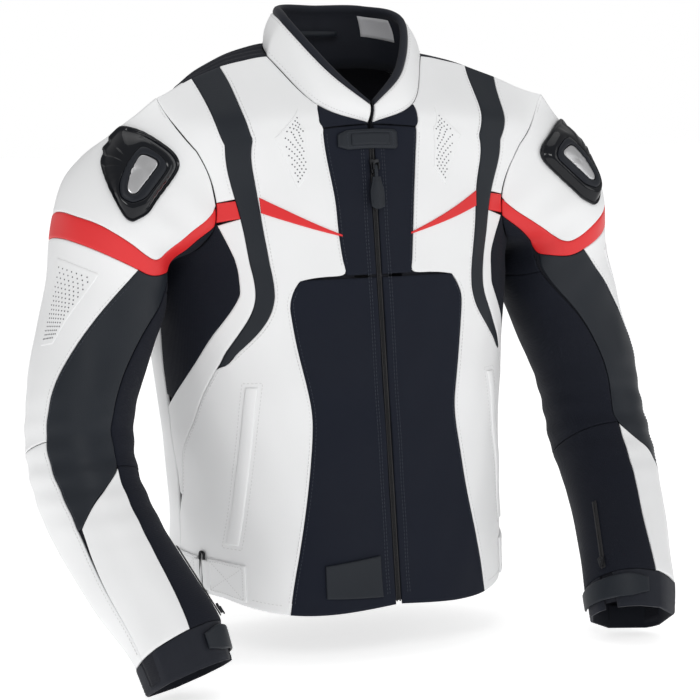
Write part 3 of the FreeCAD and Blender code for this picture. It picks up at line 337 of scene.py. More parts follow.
def four_corners(c00, c10, c11, c01, corner=0.0):
    square = rounded(corner)

    def area(a, b):
        x, y = square(a, b)
        p = mix(mix(c00[0], c10[0], x), mix(c01[0], c11[0], x), y)
        q = mix(mix(c00[1], c10[1], x), mix(c01[1], c11[1], x), y)
        return p, q
    return area


def share_at(v, distance):
    v = np.atleast_1d(np.asarray(v, float))
    low, high = v * 0.0, v * 0.0 + 1
    for _ in range(30):
        middle = (low + high) / 2
        short = front(middle, v)[:, 0] - front_centre(v)[:, 0] < distance
        low, high = np.where(short, middle, low), np.where(short, high, middle)
    return low


# ---- meshes
def to_row(points):
    return (points - HOOK) / 1000


def make(name, points, faces, material, mirror=False, smooth_shade=True):
    """Mesh object from points in mm and faces; mirror turns it over the centre plane."""
    points = np.array(points, float)
    if mirror:
        points = points * [-1, 1, 1]
        faces = [f[::-1] for f in faces]
    mesh = bpy.data.meshes.new(name)
    mesh.from_pydata(to_row(points).tolist(), [], faces)
    mesh.validate()
    for polygon in mesh.polygons:
        polygon.use_smooth = smooth_shade
    obj = bpy.data.objects.new(name, mesh)
    bpy.context.scene.collection.objects.link(obj)
    mesh.materials.append(MATERIALS[material])
    return obj


def shell(outer, inner):
    """Points and faces of the closed body between two grids (rows, columns, 3)."""
    rows, columns = outer.shape[:2]
    points = np.concatenate([outer.reshape(-1, 3), inner.reshape(-1, 3)])
    other = rows * columns
    faces = []
    for i in range(rows - 1):
        for j in range(columns - 1):
            k = i * columns + j
            faces.append((k, k + 1, k + columns + 1, k + columns))
            faces.append((other + k, other + k + columns, other + k + columns + 1, other + k + 1))
    ring = [i for i in range(columns)] + [i * columns + columns - 1 for i in range(1, rows)]
    ring += [(rows - 1) * columns + j for j in range(columns - 2, -1, -1)]
    ring += [i * columns for i in range(rows - 2, 0, -1)]
    for k, a in enumerate(ring):
        b = ring[(k + 1) % len(ring)]
        faces.append((a, other + a, other + b, b))
    return points, faces


def stations(count, near):
    """Places across a side of unit length: a few close to each end, count - 1 between them.
    near is the list of distances from the end, as shares."""
    low = near
    inner = low[-1] + (1 - 2 * low[-1]) * (np.arange(1, count)[:, None] / count)
    return np.concatenate([low, inner, 1 - low[::-1]])


ROLL = (0.0, 0.35, 0.9, 1.7, 2.8, 4.2)      # distances from a panel's edge, mm
ROLL_DEPTH = 1.2
ROLL_REACH = 2.8
SEW_GAP = 0.2             # half the open width between neighbouring panels


def roll(distance, depth=ROLL_DEPTH, reach=ROLL_REACH):
    """How far a turned edge falls at a distance from the seam."""
    t = np.clip(1 - distance / reach, 0, 1)
    return depth * (1 - np.sqrt(np.maximum(1 - t * t, 0)))


def lay_out(form, area, rows, columns, trim):
    """Grid of (p, q) over an area with close lines along its borders; also the distance of
    each point from the nearest border, in mm."""
    steps = np.linspace(0, 1, columns + 1)

    def widths(first, second):
        a, b = np.broadcast_arrays(*first), np.broadcast_arrays(*second)
        return np.maximum(np.linalg.norm(form(*area(a[0] * 1.0, a[1] * 1.0)) - form(*area(b[0] * 1.0, b[1] * 1.0)),
                                         axis=1), 1.0)
    probe = np.linspace(0, 1, 41)
    across = widths((probe * 0, probe), (probe * 0 + 1, probe))
    lengths = widths((probe, probe * 0), (probe, probe * 0 + 1))
    near = np.array(ROLL)
    b_near = np.minimum((near[:, None] + trim) / np.median(lengths), 0.02 + 0.45 * near[:, None] / near[-1])
    b = np.concatenate([b_near[:, 0], b_near[-1, 0] + (1 - 2 * b_near[-1, 0]) * np.arange(1, columns) / columns,
                        1 - b_near[::-1, 0]])
    width_b = np.interp(b, probe, across)
    shares = np.minimum((near[:, None] + trim) / width_b, (near[:, None] / near[-1]) * 0.35 + 0.04)
    shares = np.minimum(shares, 0.45)
    a = stations(rows, shares)
    b_grid = np.broadcast_to(b, a.shape)
    p, q = area(a.ravel(), b_grid.ravel())
    side = np.minimum(a, 1 - a) * width_b
    length_a = np.interp(a, probe, lengths)
    end = np.minimum(b_grid, 1 - b_grid) * length_a
    distance = np.maximum(np.minimum(side, end) - trim, 0)
    return p.reshape(a.shape), q.reshape(a.shape), distance, a, b_grid


def panel(form, area, wall, rows=8, columns=24, lift=0.0, trim=SEW_GAP, depth=ROLL_DEPTH, extra=None, puff=0.0):
    """Sewn-in panel with turned edges."""
    p, q, distance, a, b = lay_out(form, area, rows, columns, trim)
    height = lift - roll(distance, min(depth, wall * 0.7))
    if puff:
        height = height + puff * np.sin(np.pi * a) * np.minimum(np.sin(np.pi * b) * 3, 1)
    if extra is not None:
        height = height + extra(a, b)
    shape = p.shape
    outer = raised(form, p.ravel(), q.ravel(), height.ravel()).reshape(*shape, 3)
    base = np.full(p.size, lift - wall)
    inner = raised(form, p.ravel(), q.ravel(), base).reshape(*shape, 3)
    return shell(outer, inner)


def patch(form, area, base, top, rows=6, columns=12, depth=0.9):
    """Piece that lies on a form, from height base up to top, a number or a function of (a, b)."""
    p, q, distance, a, b = lay_out(form, area, rows, columns, 0.0)
    height = (top(a, b) if callable(top) else top + a * 0) - roll(distance, depth, 2.0)
    shape = p.shape
    outer = raised(form, p.ravel(), q.ravel(), height.ravel()).reshape(*shape, 3)
    inner = raised(form, p.ravel(), q.ravel(), np.full(p.size, float(base))).reshape(*shape, 3)
    return shell(outer, inner)


def joined(*parts):
    """One body of several (points, faces)."""
    points, faces, start = [], [], 0
    for found, quads in parts:
        points.append(found)
        faces += [tuple(k + start for k in f) for f in quads]
        start += len(found)
    return np.concatenate(points), faces


def mirrored(part):
    points, faces = part
    return points * [-1, 1, 1], [f[::-1] for f in faces]


def both(part):
    return joined(part, mirrored(part))


# ---- materials
def node_material(name, color, roughness, vary=0.05, grain="cell", scale=700, bump=0.25, reach=0.0004, **sockets):
    """Procedural finish: slow colour variation, roughness variation and a fine grain."""
    made = bpy.data.materials.new(name)
    made.use_nodes = True
    nodes, links = made.node_tree.nodes, made.node_tree.links
    shader = nodes["Principled BSDF"]
    place = nodes.new("ShaderNodeTexCoord")
    slow = nodes.new("ShaderNodeTexNoise")
    slow.inputs["Scale"].default_value = 11
    slow.inputs["Detail"].default_value = 5
    ramp = nodes.new("ShaderNodeMix")
    ramp.data_type = "RGBA"
    ramp.inputs["A"].default_value = (*[c * (1 - vary) for c in color], 1)
    ramp.inputs["B"].default_value = (*[min(c * (1 + vary), 1) for c in color], 1)
    gloss = nodes.new("ShaderNodeMapRange")
    gloss.inputs["To Min"].default_value = roughness * 0.85
    gloss.inputs["To Max"].default_value = min(roughness * 1.15, 1)
    links.new(place.outputs["Object"], slow.inputs["Vector"])
    links.new(slow.outputs["Fac"], ramp.inputs["Factor"])
    links.new(slow.outputs["Fac"], gloss.inputs["Value"])
    links.new(ramp.outputs["Result"], shader.inputs["Base Color"])
    links.new(gloss.outputs["Result"], shader.inputs["Roughness"])
    height = grain_height(nodes, links, place, grain, scale)
    relief = nodes.new("ShaderNodeBump")
    relief.inputs["Strength"].default_value = bump
    relief.inputs["Distance"].default_value = reach
    links.new(height, relief.inputs["Height"])
    links.new(relief.outputs["Normal"], shader.inputs["Normal"])
    for key, amount in sockets.items():
        shader.inputs[key.replace("_", " ")].default_value = amount
    return made


def grain_height(nodes, links, place, grain, scale):
    """Height output of a leather, weave or brushed grain."""
    if grain == "weave":
        found = []
        for direction in ("X", "Z"):
            wave = nodes.new("ShaderNodeTexWave")
            wave.bands_direction = direction
            wave.inputs["Scale"].default_value = scale
            wave.inputs["Distortion"].default_value = 0.6
            links.new(place.outputs["Object"], wave.inputs["Vector"])
            found.append(wave.outputs["Fac"])
        both_ways = nodes.new("ShaderNodeMath")
        both_ways.operation = "MAXIMUM"
        links.new(found[0], both_ways.inputs[0])
        links.new(found[1], both_ways.inputs[1])
        return both_ways.outputs[0]
    if grain == "brushed":
        squeeze = nodes.new("ShaderNodeMapping")
        squeeze.inputs["Scale"].default_value = (30, 30, 3000)
        noise = nodes.new("ShaderNodeTexNoise")
        noise.inputs["Scale"].default_value = 1
        links.new(place.outputs["Object"], squeeze.inputs["Vector"])
        links.new(squeeze.outputs["Vector"], noise.inputs["Vector"])
        return noise.outputs["Fac"]
    if grain == "smooth":
        noise = nodes.new("ShaderNodeTexNoise")
        noise.inputs["Scale"].default_value = scale
        links.new(place.outputs["Object"], noise.inputs["Vector"])
        return noise.outputs["Fac"]
    cells = nodes.new("ShaderNodeTexVoronoi")
    cells.feature = "DISTANCE_TO_EDGE"
    cells.inputs["Scale"].default_value = scale
    links.new(place.outputs["Object"], cells.inputs["Vector"])
    return cells.outputs["Distance"]


MATERIALS = {
    "white_leather": node_material("white_leather", (0.85, 0.855, 0.86), 0.46, 0.02, "cell", 620, 0.22,
                                   Specular_IOR_Level=0.45),
    "charcoal_leather": node_material("charcoal_leather", (0.0092, 0.0125, 0.0182), 0.50, 0.15, "cell", 560, 0.35,
                                      Specular_IOR_Level=0.3),
    "charcoal_fabric": node_material("charcoal_fabric", (0.0062, 0.0086, 0.0172), 0.78, 0.12, "weave", 260, 0.5,
                                     Specular_IOR_Level=0.2, Sheen_Weight=0.02),
    "stretch_fabric": node_material("stretch_fabric", (0.0058, 0.0074, 0.0138), 0.8, 0.15, "weave", 190, 0.6,
                                    Specular_IOR_Level=0.2, Sheen_Weight=0.02),
    "red_leather": node_material("red_leather", (0.72, 0.015, 0.018), 0.48, 0.05, "cell", 620, 0.22),
    "neoprene": node_material("neoprene", (0.008, 0.010, 0.017), 0.72, 0.12, "weave", 420, 0.35,
                              Specular_IOR_Level=0.3, Sheen_Weight=0.05),
    "lining": node_material("lining", (0.008, 0.009, 0.014), 0.85, 0.15, "weave", 160, 0.6, Specular_IOR_Level=0.3),
    "foam": node_material("foam", (0.045, 0.045, 0.05), 0.9, 0.1, "cell", 420, 0.5),
    "black_plastic": node_material("black_plastic", (0.012, 0.012, 0.014), 0.42, 0.1, "smooth", 900, 0.1),
    "dark_metal": node_material("dark_metal", (0.030, 0.031, 0.034), 0.36, 0.1, "smooth", 500, 0.08, Metallic=0.85),
    "gloss_cup": node_material("gloss_cup", (0.0025, 0.0034, 0.0058), 0.13, 0.1, "smooth", 60, 0.03,
                               Specular_IOR_Level=0.2, Coat_Weight=0.2, Coat_Roughness=0.04),
    "satin_cup": node_material("satin_cup", (0.010, 0.012, 0.017), 0.42, 0.1, "smooth", 900, 0.12, Specular_IOR_Level=0.25),
    "brushed_plate": node_material("brushed_plate", (0.62, 0.62, 0.63), 0.30, 0.04, "brushed", 1, 0.15,
                                   Metallic=1.0, Anisotropic=0.6),
    "white_thread": node_material("white_thread", (0.66, 0.66, 0.66), 0.7, 0.03, "smooth", 2500, 0.3),
    "dark_thread": node_material("dark_thread", (0.030, 0.036, 0.05), 0.7, 0.05, "smooth", 2500, 0.3),
    # grey of the vent holes: painted shade standing in for the inside of each perforation
    "hole_shade": node_material("hole_shade", (0.16, 0.16, 0.17), 0.9, 0.05, "smooth", 900, 0.1),
    "label": node_material("label", (0.55, 0.55, 0.57), 0.7, 0.06, "weave", 300, 0.3),
}

ARMHOLE_BLEND = (V(0.45, 0, -0.89), 0.304, 0.342)


def add(name, part, material, body="jacket", nodes=(), mirror=False, blend=None):
    """Makes a piece and hides the CAD nodes it stands for; without a blend it is parented to the empty of the body it
    rides on, with one it is only baked in place.
    """
    points, faces = part
    obj = make(name, points, faces, material, mirror)
    if blend:
        first, second, start, end = blend
        if mirror:
            start, end = start * [-1, 1, 1], end * [-1, 1, 1]
        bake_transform(obj)
    else:
        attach(obj, body)
    if nodes:
        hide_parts(*nodes)
    return obj


# ---- seams on the front
PLACKET_TOP = 0.918


def placket_edge(v):
    return curve([(0.57, 0.085), (0.65, 0.11), (0.71, 0.128), (0.76, 0.148), (0.80, 0.162), (0.83, 0.167),
                  (0.85, 0.156), (0.898, 0.046), (PLACKET_TOP, 0.0)], v)


def lower_edge(v):
    return curve([(0, 0.40), (0.05, 0.375), (0.10, 0.345), (0.19, 0.30), (0.26, 0.27), (0.32, 0.25),
                  (0.36, 0.25), (0.46, 0.28), (0.52, 0.29), (0.54, 0.285), (V_STEP, 0.24)], v)


STRIPE_INNER = [(0.42, 0.635), (0.465, 0.47), (0.50, 0.385), (0.53, 0.345), (0.56, 0.34), (0.61, 0.365),
                (0.68, 0.43), (0.72, 0.46), (0.78, 0.505), (0.83, 0.515), (0.88, 0.455), (0.93, 0.375), (1.0, 0.28)]
STRIPE_OUTER = [(0.42, 0.65), (0.45, 0.585), (0.49, 0.49), (0.525, 0.43), (0.555, 0.41), (0.60, 0.44),
                (0.63, 0.465), (0.68, 0.525), (0.715, 0.57), (0.76, 0.62), (0.81, 0.655), (0.88, 0.635),
                (0.945, 0.56), (1.0, 0.53)]
V_TIP = 0.42
WAIST_SEAM = [(0.975, 0.18), (0.92, 0.26), (0.80, 0.33), (0.725, 0.375), (0.64, V_TIP)]
STRETCH_EDGE = [(0.95, 0.36), (0.80, 0.41), (0.66, 0.47), (0.56, 0.51), (0.50, 0.54), (0.485, 0.56),
                (0.50, 0.60), (0.56, 0.635), (0.635, 0.668)]
FLASH_ANGLES = (97, 111)
CHAIN_HALF = 3.6


def even(edge, v):
    """Curve through an edge's knots with its short waves evened out."""
    return sum(curve(edge, np.asarray(v, float) + step) for step in (-0.03, -0.015, 0, 0.015, 0.03)) / 5


def stripe_inner(v):
    return even(STRIPE_INNER, v)


def stripe_outer(v):
    return even(STRIPE_OUTER, v)


def constant(x):
    return lambda v: np.full(np.shape(v), x, float)


def rim_points(angles):
    return [tuple(p) for p in rim_at(np.array(angles, float))]


def front_panel_area():
    side = follow(constant(1.0), 0.0, 0.12, 3) + along([(1.0, 0.14)] + WAIST_SEAM, 17)
    stripe = follow(stripe_inner, V_TIP + 0.01, 0.54, 7)
    inner, outer = follow(lower_edge, 0.0, V_STEP - 0.006, len(side + stripe)), side + stripe
    low, high = value(lower_edge, V_STEP), value(placket_edge, V_STEP)
    inner += [(mix(low, high, t), V_STEP + 0.002) for t in (0.15, 0.5, 0.85)]
    outer += follow(stripe_inner, 0.55, 0.58, 3)
    inner += follow(placket_edge, V_STEP + 0.008, PLACKET_TOP, 18) + follow(constant(0.0), PLACKET_TOP + 0.003, 1.0, 4)
    outer += follow(stripe_inner, 0.595, 1.0, 22)
    return strip(knots(*inner), knots(*outer))


def off_zip(v):
    return share_at(v, CHAIN_HALF)


def build_front():
    for side, turned in (("left", False), ("right", True)):
        add("front_panel_" + side, panel(front, front_panel_area(), WALL, 34, 130), "white_leather",
            nodes=["front_panel_" + side], mirror=turned)
    lower = panel(front, between(off_zip, lower_edge, 0.0, V_STEP - 0.003), STRETCH_WALL, 16, 70)
    add("lower_centre_panels", both(lower), "charcoal_fabric", nodes=["lower_centre_panels"])
    bottom = panel(front, between(off_zip, placket_edge, V_STEP + 0.002, V_PIT - 0.002), WALL, 8, 36)
    top = panel(front, between(constant(0.0), placket_edge, V_PIT, PLACKET_TOP - 0.0005), WALL, 8, 10)
    add("upper_plackets", both(joined(bottom, top)), "charcoal_fabric", nodes=["upper_plackets"])
    stripe = panel(front, between(stripe_inner, stripe_outer, V_TIP + 0.005, 1.0), WALL, 8, 90)
    add("shoulder_stripes", both(stripe), "charcoal_leather", nodes=["shoulder_stripes"])
    inner = along(WAIST_SEAM, 9) + follow(stripe_outer, V_TIP + 0.012, 0.68, 16)
    outer = along([(0.985, 0.185), (1.0, 0.25), (1.0, 0.31), (0.995, 0.345)], 6) + along(STRETCH_EDGE, 19)
    strip_area = strip(knots(*inner), knots(*outer))
    add("side_panels", both(panel(front, strip_area, WALL, 10, 90)), "white_leather", nodes=["side_panels"])
    outer = follow(constant(0.997), 0.366, V_ARMPIT, 10)
    outer += rim_points([mix(SEAM_ANGLE, FLASH_ANGLES[1] + 0.2, i / 9) for i in range(1, 10)])
    area = strip(knots(*along(STRETCH_EDGE, len(outer))), knots(*outer))
    add("side_stretch_panels", both(panel(front, area, STRETCH_WALL, 14, 60)), "stretch_fabric",
        nodes=["side_stretch_panels"])
    inner = follow(stripe_outer, 0.718, 1.0, 13)
    outer = rim_points([mix(FLASH_ANGLES[0] - 0.2, 0, i / 12) for i in range(13)])
    shoulder = panel(front, strip(knots(*inner), knots(*outer)), WALL, 14, 44)
    behind = panel(back, between(constant(0.62), back_rim, V_ACCORDION, 1.0), WALL, 12, 14)
    add("shoulder_panels", both(joined(shoulder, behind)), "white_leather", nodes=["shoulder_panels"])
    high, low = rim_points(FLASH_ANGLES)
    area = strip(knots((value(stripe_outer, 0.68), 0.68), low), knots((value(stripe_outer, 0.715), 0.715), high))
    let_in = panel(front, area, WALL, 6, 12)
    wedge = four_corners((0.10, 0.645), (0.10, 0.648), (0.455, 0.72), (0.435, 0.69))
    laid = patch(front, wedge, LIFT - 0.3, LIFT + 1.1, 6, 40, depth=0.6)
    add("chest_flashes", both(joined(let_in, laid)), "red_leather", nodes=["chest_flashes"])


# ---- seams on the back
def centre_back_edge(v):
    return curve([(0, 0.30), (0.3, 0.33), (0.5, 0.45), (V_YOKE, 0.56)], v)


def across_back(edge, v0, v1):
    def area(a, b):
        v = mix(v0, v1, b)
        w = 2 * a - 1
        return np.sign(w) * np.abs(w) ** 1.3 * edge(v), v
    return area


def build_back():
    yoke = panel(back, across_back(back_rim, V_YOKE, V_NAPE - 0.0005), WALL, 70, 30)
    strip_up = panel(back, between(constant(0.0), back_rim, V_NAPE + 0.0005, V_ACCORDION), WALL, 24, 3)
    add("back_yoke", joined(yoke, strip_up, mirrored(strip_up)), "white_leather", nodes=["back_yoke"])
    centre = panel(back, across_back(centre_back_edge, 0.0, V_YOKE), WALL, 40, 90)
    add("back_centre_panel", centre, "charcoal_leather", nodes=["back_centre_panel"])
    outer = follow(constant(1.0), 0.0, V_ARMPIT, 14) + rim_points((209, 218, 227, 236))
    outer += [(value(back_rim, V_YOKE), V_YOKE)]
    inner = follow(centre_back_edge, 0.0, V_YOKE, len(outer))
    side = panel(back, strip(knots(*inner), knots(*outer)), WALL, 28, 90)
    add("back_side_panels", both(side), "white_leather", nodes=["back_side_panels"])
    pleats = panel(back, between(constant(0.0), constant(0.62), V_ACCORDION, 1.0), STRETCH_WALL, 24, 72,
                   extra=lambda a, b: 1.5 * np.sin(6 * np.pi * b) ** 2 - 0.7)
    add("accordion_panels", both(pleats), "stretch_fabric", nodes=["accordion_panels"])


# ---- collar
COLLAR_END = 0.985
COLLAR_TOP = [(-1, PIT + V(0, -3, 23)), (-0.75, V(-0.44 * NECK_HALF, -34, FRONT_LENGTH + 66)),
              (-0.5, V(-0.74 * NECK_HALF, 14, NAPE_Z + 34)), (-0.25, V(-0.55 * NECK_HALF, NAPE_Y - 22, NAPE_Z + 47)),
              (0, NAPE + V(0, -4, 47)), (0.25, V(0.55 * NECK_HALF, NAPE_Y - 22, NAPE_Z + 47)),
              (0.5, V(0.74 * NECK_HALF, 14, NAPE_Z + 34)), (0.75, V(0.44 * NECK_HALF, -34, FRONT_LENGTH + 66)),
              (1, PIT + V(0, -3, 23))]


def neckline(t):
    share = np.abs(t)
    p = either(share <= 0.5, back_centre(V_NAPE + (1 - V_NAPE) * 2 * share),
               front_centre(V_PIT + (1 - V_PIT) * 2 * (1 - share)))
    p[:, 0] = np.where(t < 0, -p[:, 0], p[:, 0])
    return p


def collar(h, t):
    base, top = neckline(t), curve(COLLAR_TOP, t)
    away = unit(np.stack([base[:, 0], base[:, 1] - 30, base[:, 0] * 0], -1))
    return base + (top - base) * h[:, None] + away * (5 * np.sin(np.pi * np.clip(h, 0, 1)))[:, None]


def collar_points(h, t, depth):
    here = collar(h, t)
    across = collar(h, t + 0.01) - collar(h, t - 0.01)
    up = collar(h + 0.02, t) - collar(h - 0.02, t)
    n = unit(np.cross(across, up))
    inward = np.sum(n * (here - np.stack([t * 0, t * 0 + 30, here[:, 2]], -1)), -1) < 0
    n = np.where(inward[:, None], -n, n)
    return here - n * depth[:, None]


def round_the_neck(profile, columns=150):
    """Closed body with a cross-section of (height share, depth mm) round the collar."""
    t = np.linspace(-COLLAR_END, COLLAR_END, columns)
    rings = [collar_points(np.full(columns, h), t, np.full(columns, float(d))) for h, d in profile]
    points = np.stack(rings, 1)
    count = len(profile)
    faces = []
    for i in range(columns - 1):
        for j in range(count):
            k, m = i * count + j, i * count + (j + 1) % count
            faces.append((k, m, m + count, k + count))
    faces.append(tuple(range(count - 1, -1, -1)))
    faces.append(tuple((columns - 1) * count + j for j in range(count)))
    return points.reshape(-1, 3), faces


SHELL_PROFILE = [(-0.012, 1.3), (-0.005, 0.6), (0.01, 0.2), (0.05, 0.0), (0.25, 0), (0.4, 0), (0.55, 0), (0.7, 0),
                 (0.78, 0.05), (0.815, 0.4), (0.83, 1.0), (0.83, 3.3), (0.55, 3.4), (0.3, 3.4), (-0.012, 3.4)]
FACING_PROFILE = [(0.84, 2.2), (0.845, 0.8), (0.87, -0.3), (0.92, -0.9), (0.96, -0.7), (0.99, 0.4), (1.005, 2.0),
                  (1.005, 4.0), (0.99, 5.9), (0.96, 7.1), (0.92, 7.5), (0.87, 7.2), (0.83, 6.6), (0.70, 6.35),
                  (0.5, 6.35), (0.25, 6.35), (-0.3, 6.35), (-0.6, 6.35), (-0.6, 3.75), (-0.3, 3.75), (0.3, 3.75), (0.6, 3.75), (0.82, 3.75)]
LOOP_GAP = 9
LABEL_AT = 0.30
FACING_Y = NAPE_Y - COLLAR_WALL - LIFT - FACING_WALL
LOOP_Z = NAPE_Z + 14


def ribbon(path, half, thick, across):
    """Flat strap with soft edges that follows a path of points; across is its width's direction."""
    path = np.array(path, float)
    tangent = unit(np.gradient(path, axis=0))
    wide = unit(across - tangent * np.sum(tangent * across, -1, keepdims=True))
    out = np.cross(tangent, wide)
    section = [(-1, -0.3), (-0.9, -0.5), (0.9, -0.5), (1, -0.3), (1, 0.3), (0.9, 0.5), (-0.9, 0.5), (-1, 0.3)]
    rings = np.stack([path + wide * (x * half) + out * (y * thick) for x, y in section], 1)
    count = len(section)
    faces = [(i * count + j, i * count + (j + 1) % count, (i + 1) * count + (j + 1) % count, (i + 1) * count + j)
             for i in range(len(path) - 1) for j in range(count)]
    faces += [tuple(range(count - 1, -1, -1)), tuple((len(path) - 1) * count + j for j in range(count))]
    return rings.reshape(-1, 3), faces


def build_collar():
    add("collar_shell", round_the_neck(SHELL_PROFILE), "white_leather", nodes=["collar_shell"])
    add("collar_facing", round_the_neck(FACING_PROFILE), "neoprene", nodes=["collar_facing"])
    y = FACING_Y - LOOP_GAP - 1.5
    path = [(-24.5, FACING_Y - 2.2, LOOP_Z), (-25, FACING_Y - 6, LOOP_Z), (-23.5, y + 1.2, LOOP_Z), (-20, y, LOOP_Z),
            (-10, y - 0.5, LOOP_Z), (0, y - 0.7, LOOP_Z), (10, y - 0.5, LOOP_Z), (20, y, LOOP_Z),
            (23.5, y + 1.2, LOOP_Z), (25, FACING_Y - 6, LOOP_Z), (24.5, FACING_Y - 2.2, LOOP_Z)]
    add("hanger_loop", ribbon(path, 3, 2.2, V(0, 0, 1)), "charcoal_leather", nodes=["hanger_loop"])
    t = np.linspace(-0.09, 0.09, 17)
    rows = []
    for depth in (6.5, 6.9):
        rows.append(np.stack([collar_points(np.full(17, h), t + LABEL_AT, np.full(17, depth))
                              for h in np.linspace(0.18, 0.78, 7)]))
    add("neck_label", shell(rows[1][:, ::-1], rows[0][:, ::-1]), "label")


# ---- inside the body
LINING_TOP = -WALL - LINING_GAP
PAD_TOP = LINING_TOP - LINING_WALL - LINING_GAP


def build_inside():
    outer = [(0.985, v) for v in (0.02, 0.18, 0.34, 0.48, 0.585)]
    outer += [(0.89, 0.596), (0.79, 0.605), (0.68, 0.62), (0.62, 0.66), (0.63, 0.70)]
    outer += [(0.69, 0.755), (0.79, 0.84), (0.90, 0.93), (0.93, 0.97)]
    heights = (0.02, 0.13, 0.25, 0.36, 0.44, 0.48, 0.52, 0.56, 0.61, 0.66, 0.72, 0.80, 0.89, 0.97)
    area = strip(knots(*[(0.06, v) for v in heights]), knots(*outer))
    front_half = panel(front, area, LINING_WALL, 16, 50, lift=LINING_TOP, trim=0.0, depth=0.4)
    edge = [(0.02, 0.985), (0.54, 0.985), (0.60, 0.93), (0.66, 0.83), (0.72, 0.82), (0.875, 0.84)]
    area = across_back(lambda v: curve(edge, v), 0.02, 0.875)
    behind = panel(back, area, LINING_WALL, 40, 40, lift=LINING_TOP, trim=0.0, depth=0.4)
    add("body_lining", joined(front_half, mirrored(front_half), behind), "lining", nodes=["body_lining"])

    def pad_area(a, b):
        x, y = rounded(0.3)(a, b)
        w = 2 * x - 1
        return np.sign(w) * np.abs(w) ** 1.3 * 0.36, mix(0.26, 0.72, y)
    pad = panel(back, pad_area, PAD_WALL, 24, 30, lift=PAD_TOP, trim=0.0, depth=5.0,
                extra=lambda a, b: -0.8 * np.maximum(np.sin(9 * np.pi * b), 0) ** 6)
    add("back_pad", pad, "foam", nodes=["back_pad"])


# ---- stitches
def on_form(form, points, count_per_mm, height, side_mm):
    """Places along a seam: centres, directions along it and outward, moved side_mm to its left."""
    fine = curve(knots(*points), np.linspace(0, 1, 240))
    line = raised(form, fine[:, 0], fine[:, 1], np.full(len(fine), height))
    out = normal(form, fine[:, 0], fine[:, 1])
    tangent = unit(np.gradient(line, axis=0))
    line = line + unit(np.cross(out, tangent)) * side_mm
    length = np.concatenate([[0], np.cumsum(np.linalg.norm(np.diff(line, axis=0), axis=1))])
    count = max(int(length[-1] * count_per_mm), 2)
    at = (np.arange(count) + 0.5) * length[-1] / count
    every = [np.stack([np.interp(at, length, a[:, k]) for k in range(3)], -1) for a in (line, tangent, out)]
    return every[0], unit(every[1]), unit(every[2])


def loaves(centres, directions, outward, length, width, tall, sink=0.25):
    """Small loaf-shaped stitches or teeth."""
    sides = np.cross(outward, directions)
    corners = [(-0.5, 0.5, -sink), (-0.5, -0.5, -sink), (0.5, -0.5, -sink), (0.5, 0.5, -sink),
               (-0.3, 0.28, 1), (-0.3, -0.28, 1), (0.3, -0.28, 1), (0.3, 0.28, 1)]
    rings = [centres + directions * (x * length) + sides * (y * width)
             + outward * ((tall if z > 0 else z)) for x, y, z in corners]
    points = np.stack(rings, 1).reshape(-1, 3)
    quads = [(0, 3, 2, 1), (4, 5, 6, 7), (0, 1, 5, 4), (1, 2, 6, 5), (2, 3, 7, 6), (3, 0, 4, 7)]
    faces = [tuple(8 * i + k for k in q) for i in range(len(centres)) for q in quads]
    return points, faces


def stitching(form, points, side_mm, height=0.0, pitch=4.2):
    c, d, n = on_form(form, points, 1 / pitch, height, side_mm)
    return loaves(c, d, n, pitch * 0.72, 0.75, 0.32)


def ring_edges(c00, c10, c11, c01, count=12):
    """Four sides of an area with straight borders, as lists of (p, q)."""
    corners = [c00, c10, c11, c01]
    return [[tuple(mix(np.array(corners[i]), np.array(corners[(i + 1) % 4]), t)) for t in np.linspace(0, 1, count)]
            for i in range(4)]


def build_body_stitches():
    white, dark = [], []
    off = 3.4
    white.append(stitching(front, follow(stripe_inner, 0.44, 0.99, 30), off))
    white.append(stitching(front, follow(stripe_outer, 0.73, 0.99, 16), -off))
    white.append(stitching(front, follow(lower_edge, 0.02, V_STEP - 0.02, 30), -off))
    white.append(stitching(front, follow(placket_edge, V_STEP + 0.02, 0.83, 20), -off))
    dark.append(stitching(front, follow(lower_edge, 0.02, V_STEP - 0.02, 30), off))
    dark.append(stitching(front, follow(placket_edge, V_STEP + 0.02, 0.83, 20), off))
    for distance in (11.5, 14.5):
        edge = [(value(lambda v: share_at(v, distance), v), float(v)) for v in np.linspace(0.02, 0.83, 24)]
        dark.append(stitching(front, edge, 0))
    white.append(stitching(front, [(u, 0.016) for u in np.linspace(0.43, 0.57, 6)], 0))
    white.append(stitching(front, along(WAIST_SEAM, 12), off))
    white.append(stitching(front, rim_points(np.linspace(4, 93, 16)), off))
    white.append(stitching(back, [(u, V_YOKE) for u in np.linspace(0.02, 0.83, 30)], off))
    white.append(stitching(back, follow(centre_back_edge, 0.02, V_YOKE - 0.01, 30), -off))
    dark.append(stitching(back, follow(centre_back_edge, 0.02, V_YOKE - 0.01, 30), off))
    add("white_stitches", both(joined(*white)), "white_thread")
    add("dark_stitches", both(joined(*dark)), "dark_thread")
    t = np.linspace(-COLLAR_END, COLLAR_END, 300)
    parts = []
    for h in (0.10, 0.78):
        line = collar_points(np.full(300, h), t, np.full(300, -0.05))
        inner = collar_points(np.full(300, h), t, np.full(300, 1.0))
        step = unit(np.gradient(line, axis=0))
        parts.append(loaves(line[::2][1:-1], step[::2][1:-1], unit(line - inner)[::2][1:-1], 1.9, 0.75, 0.3))
    add("collar_stitches", joined(*parts), "white_thread")


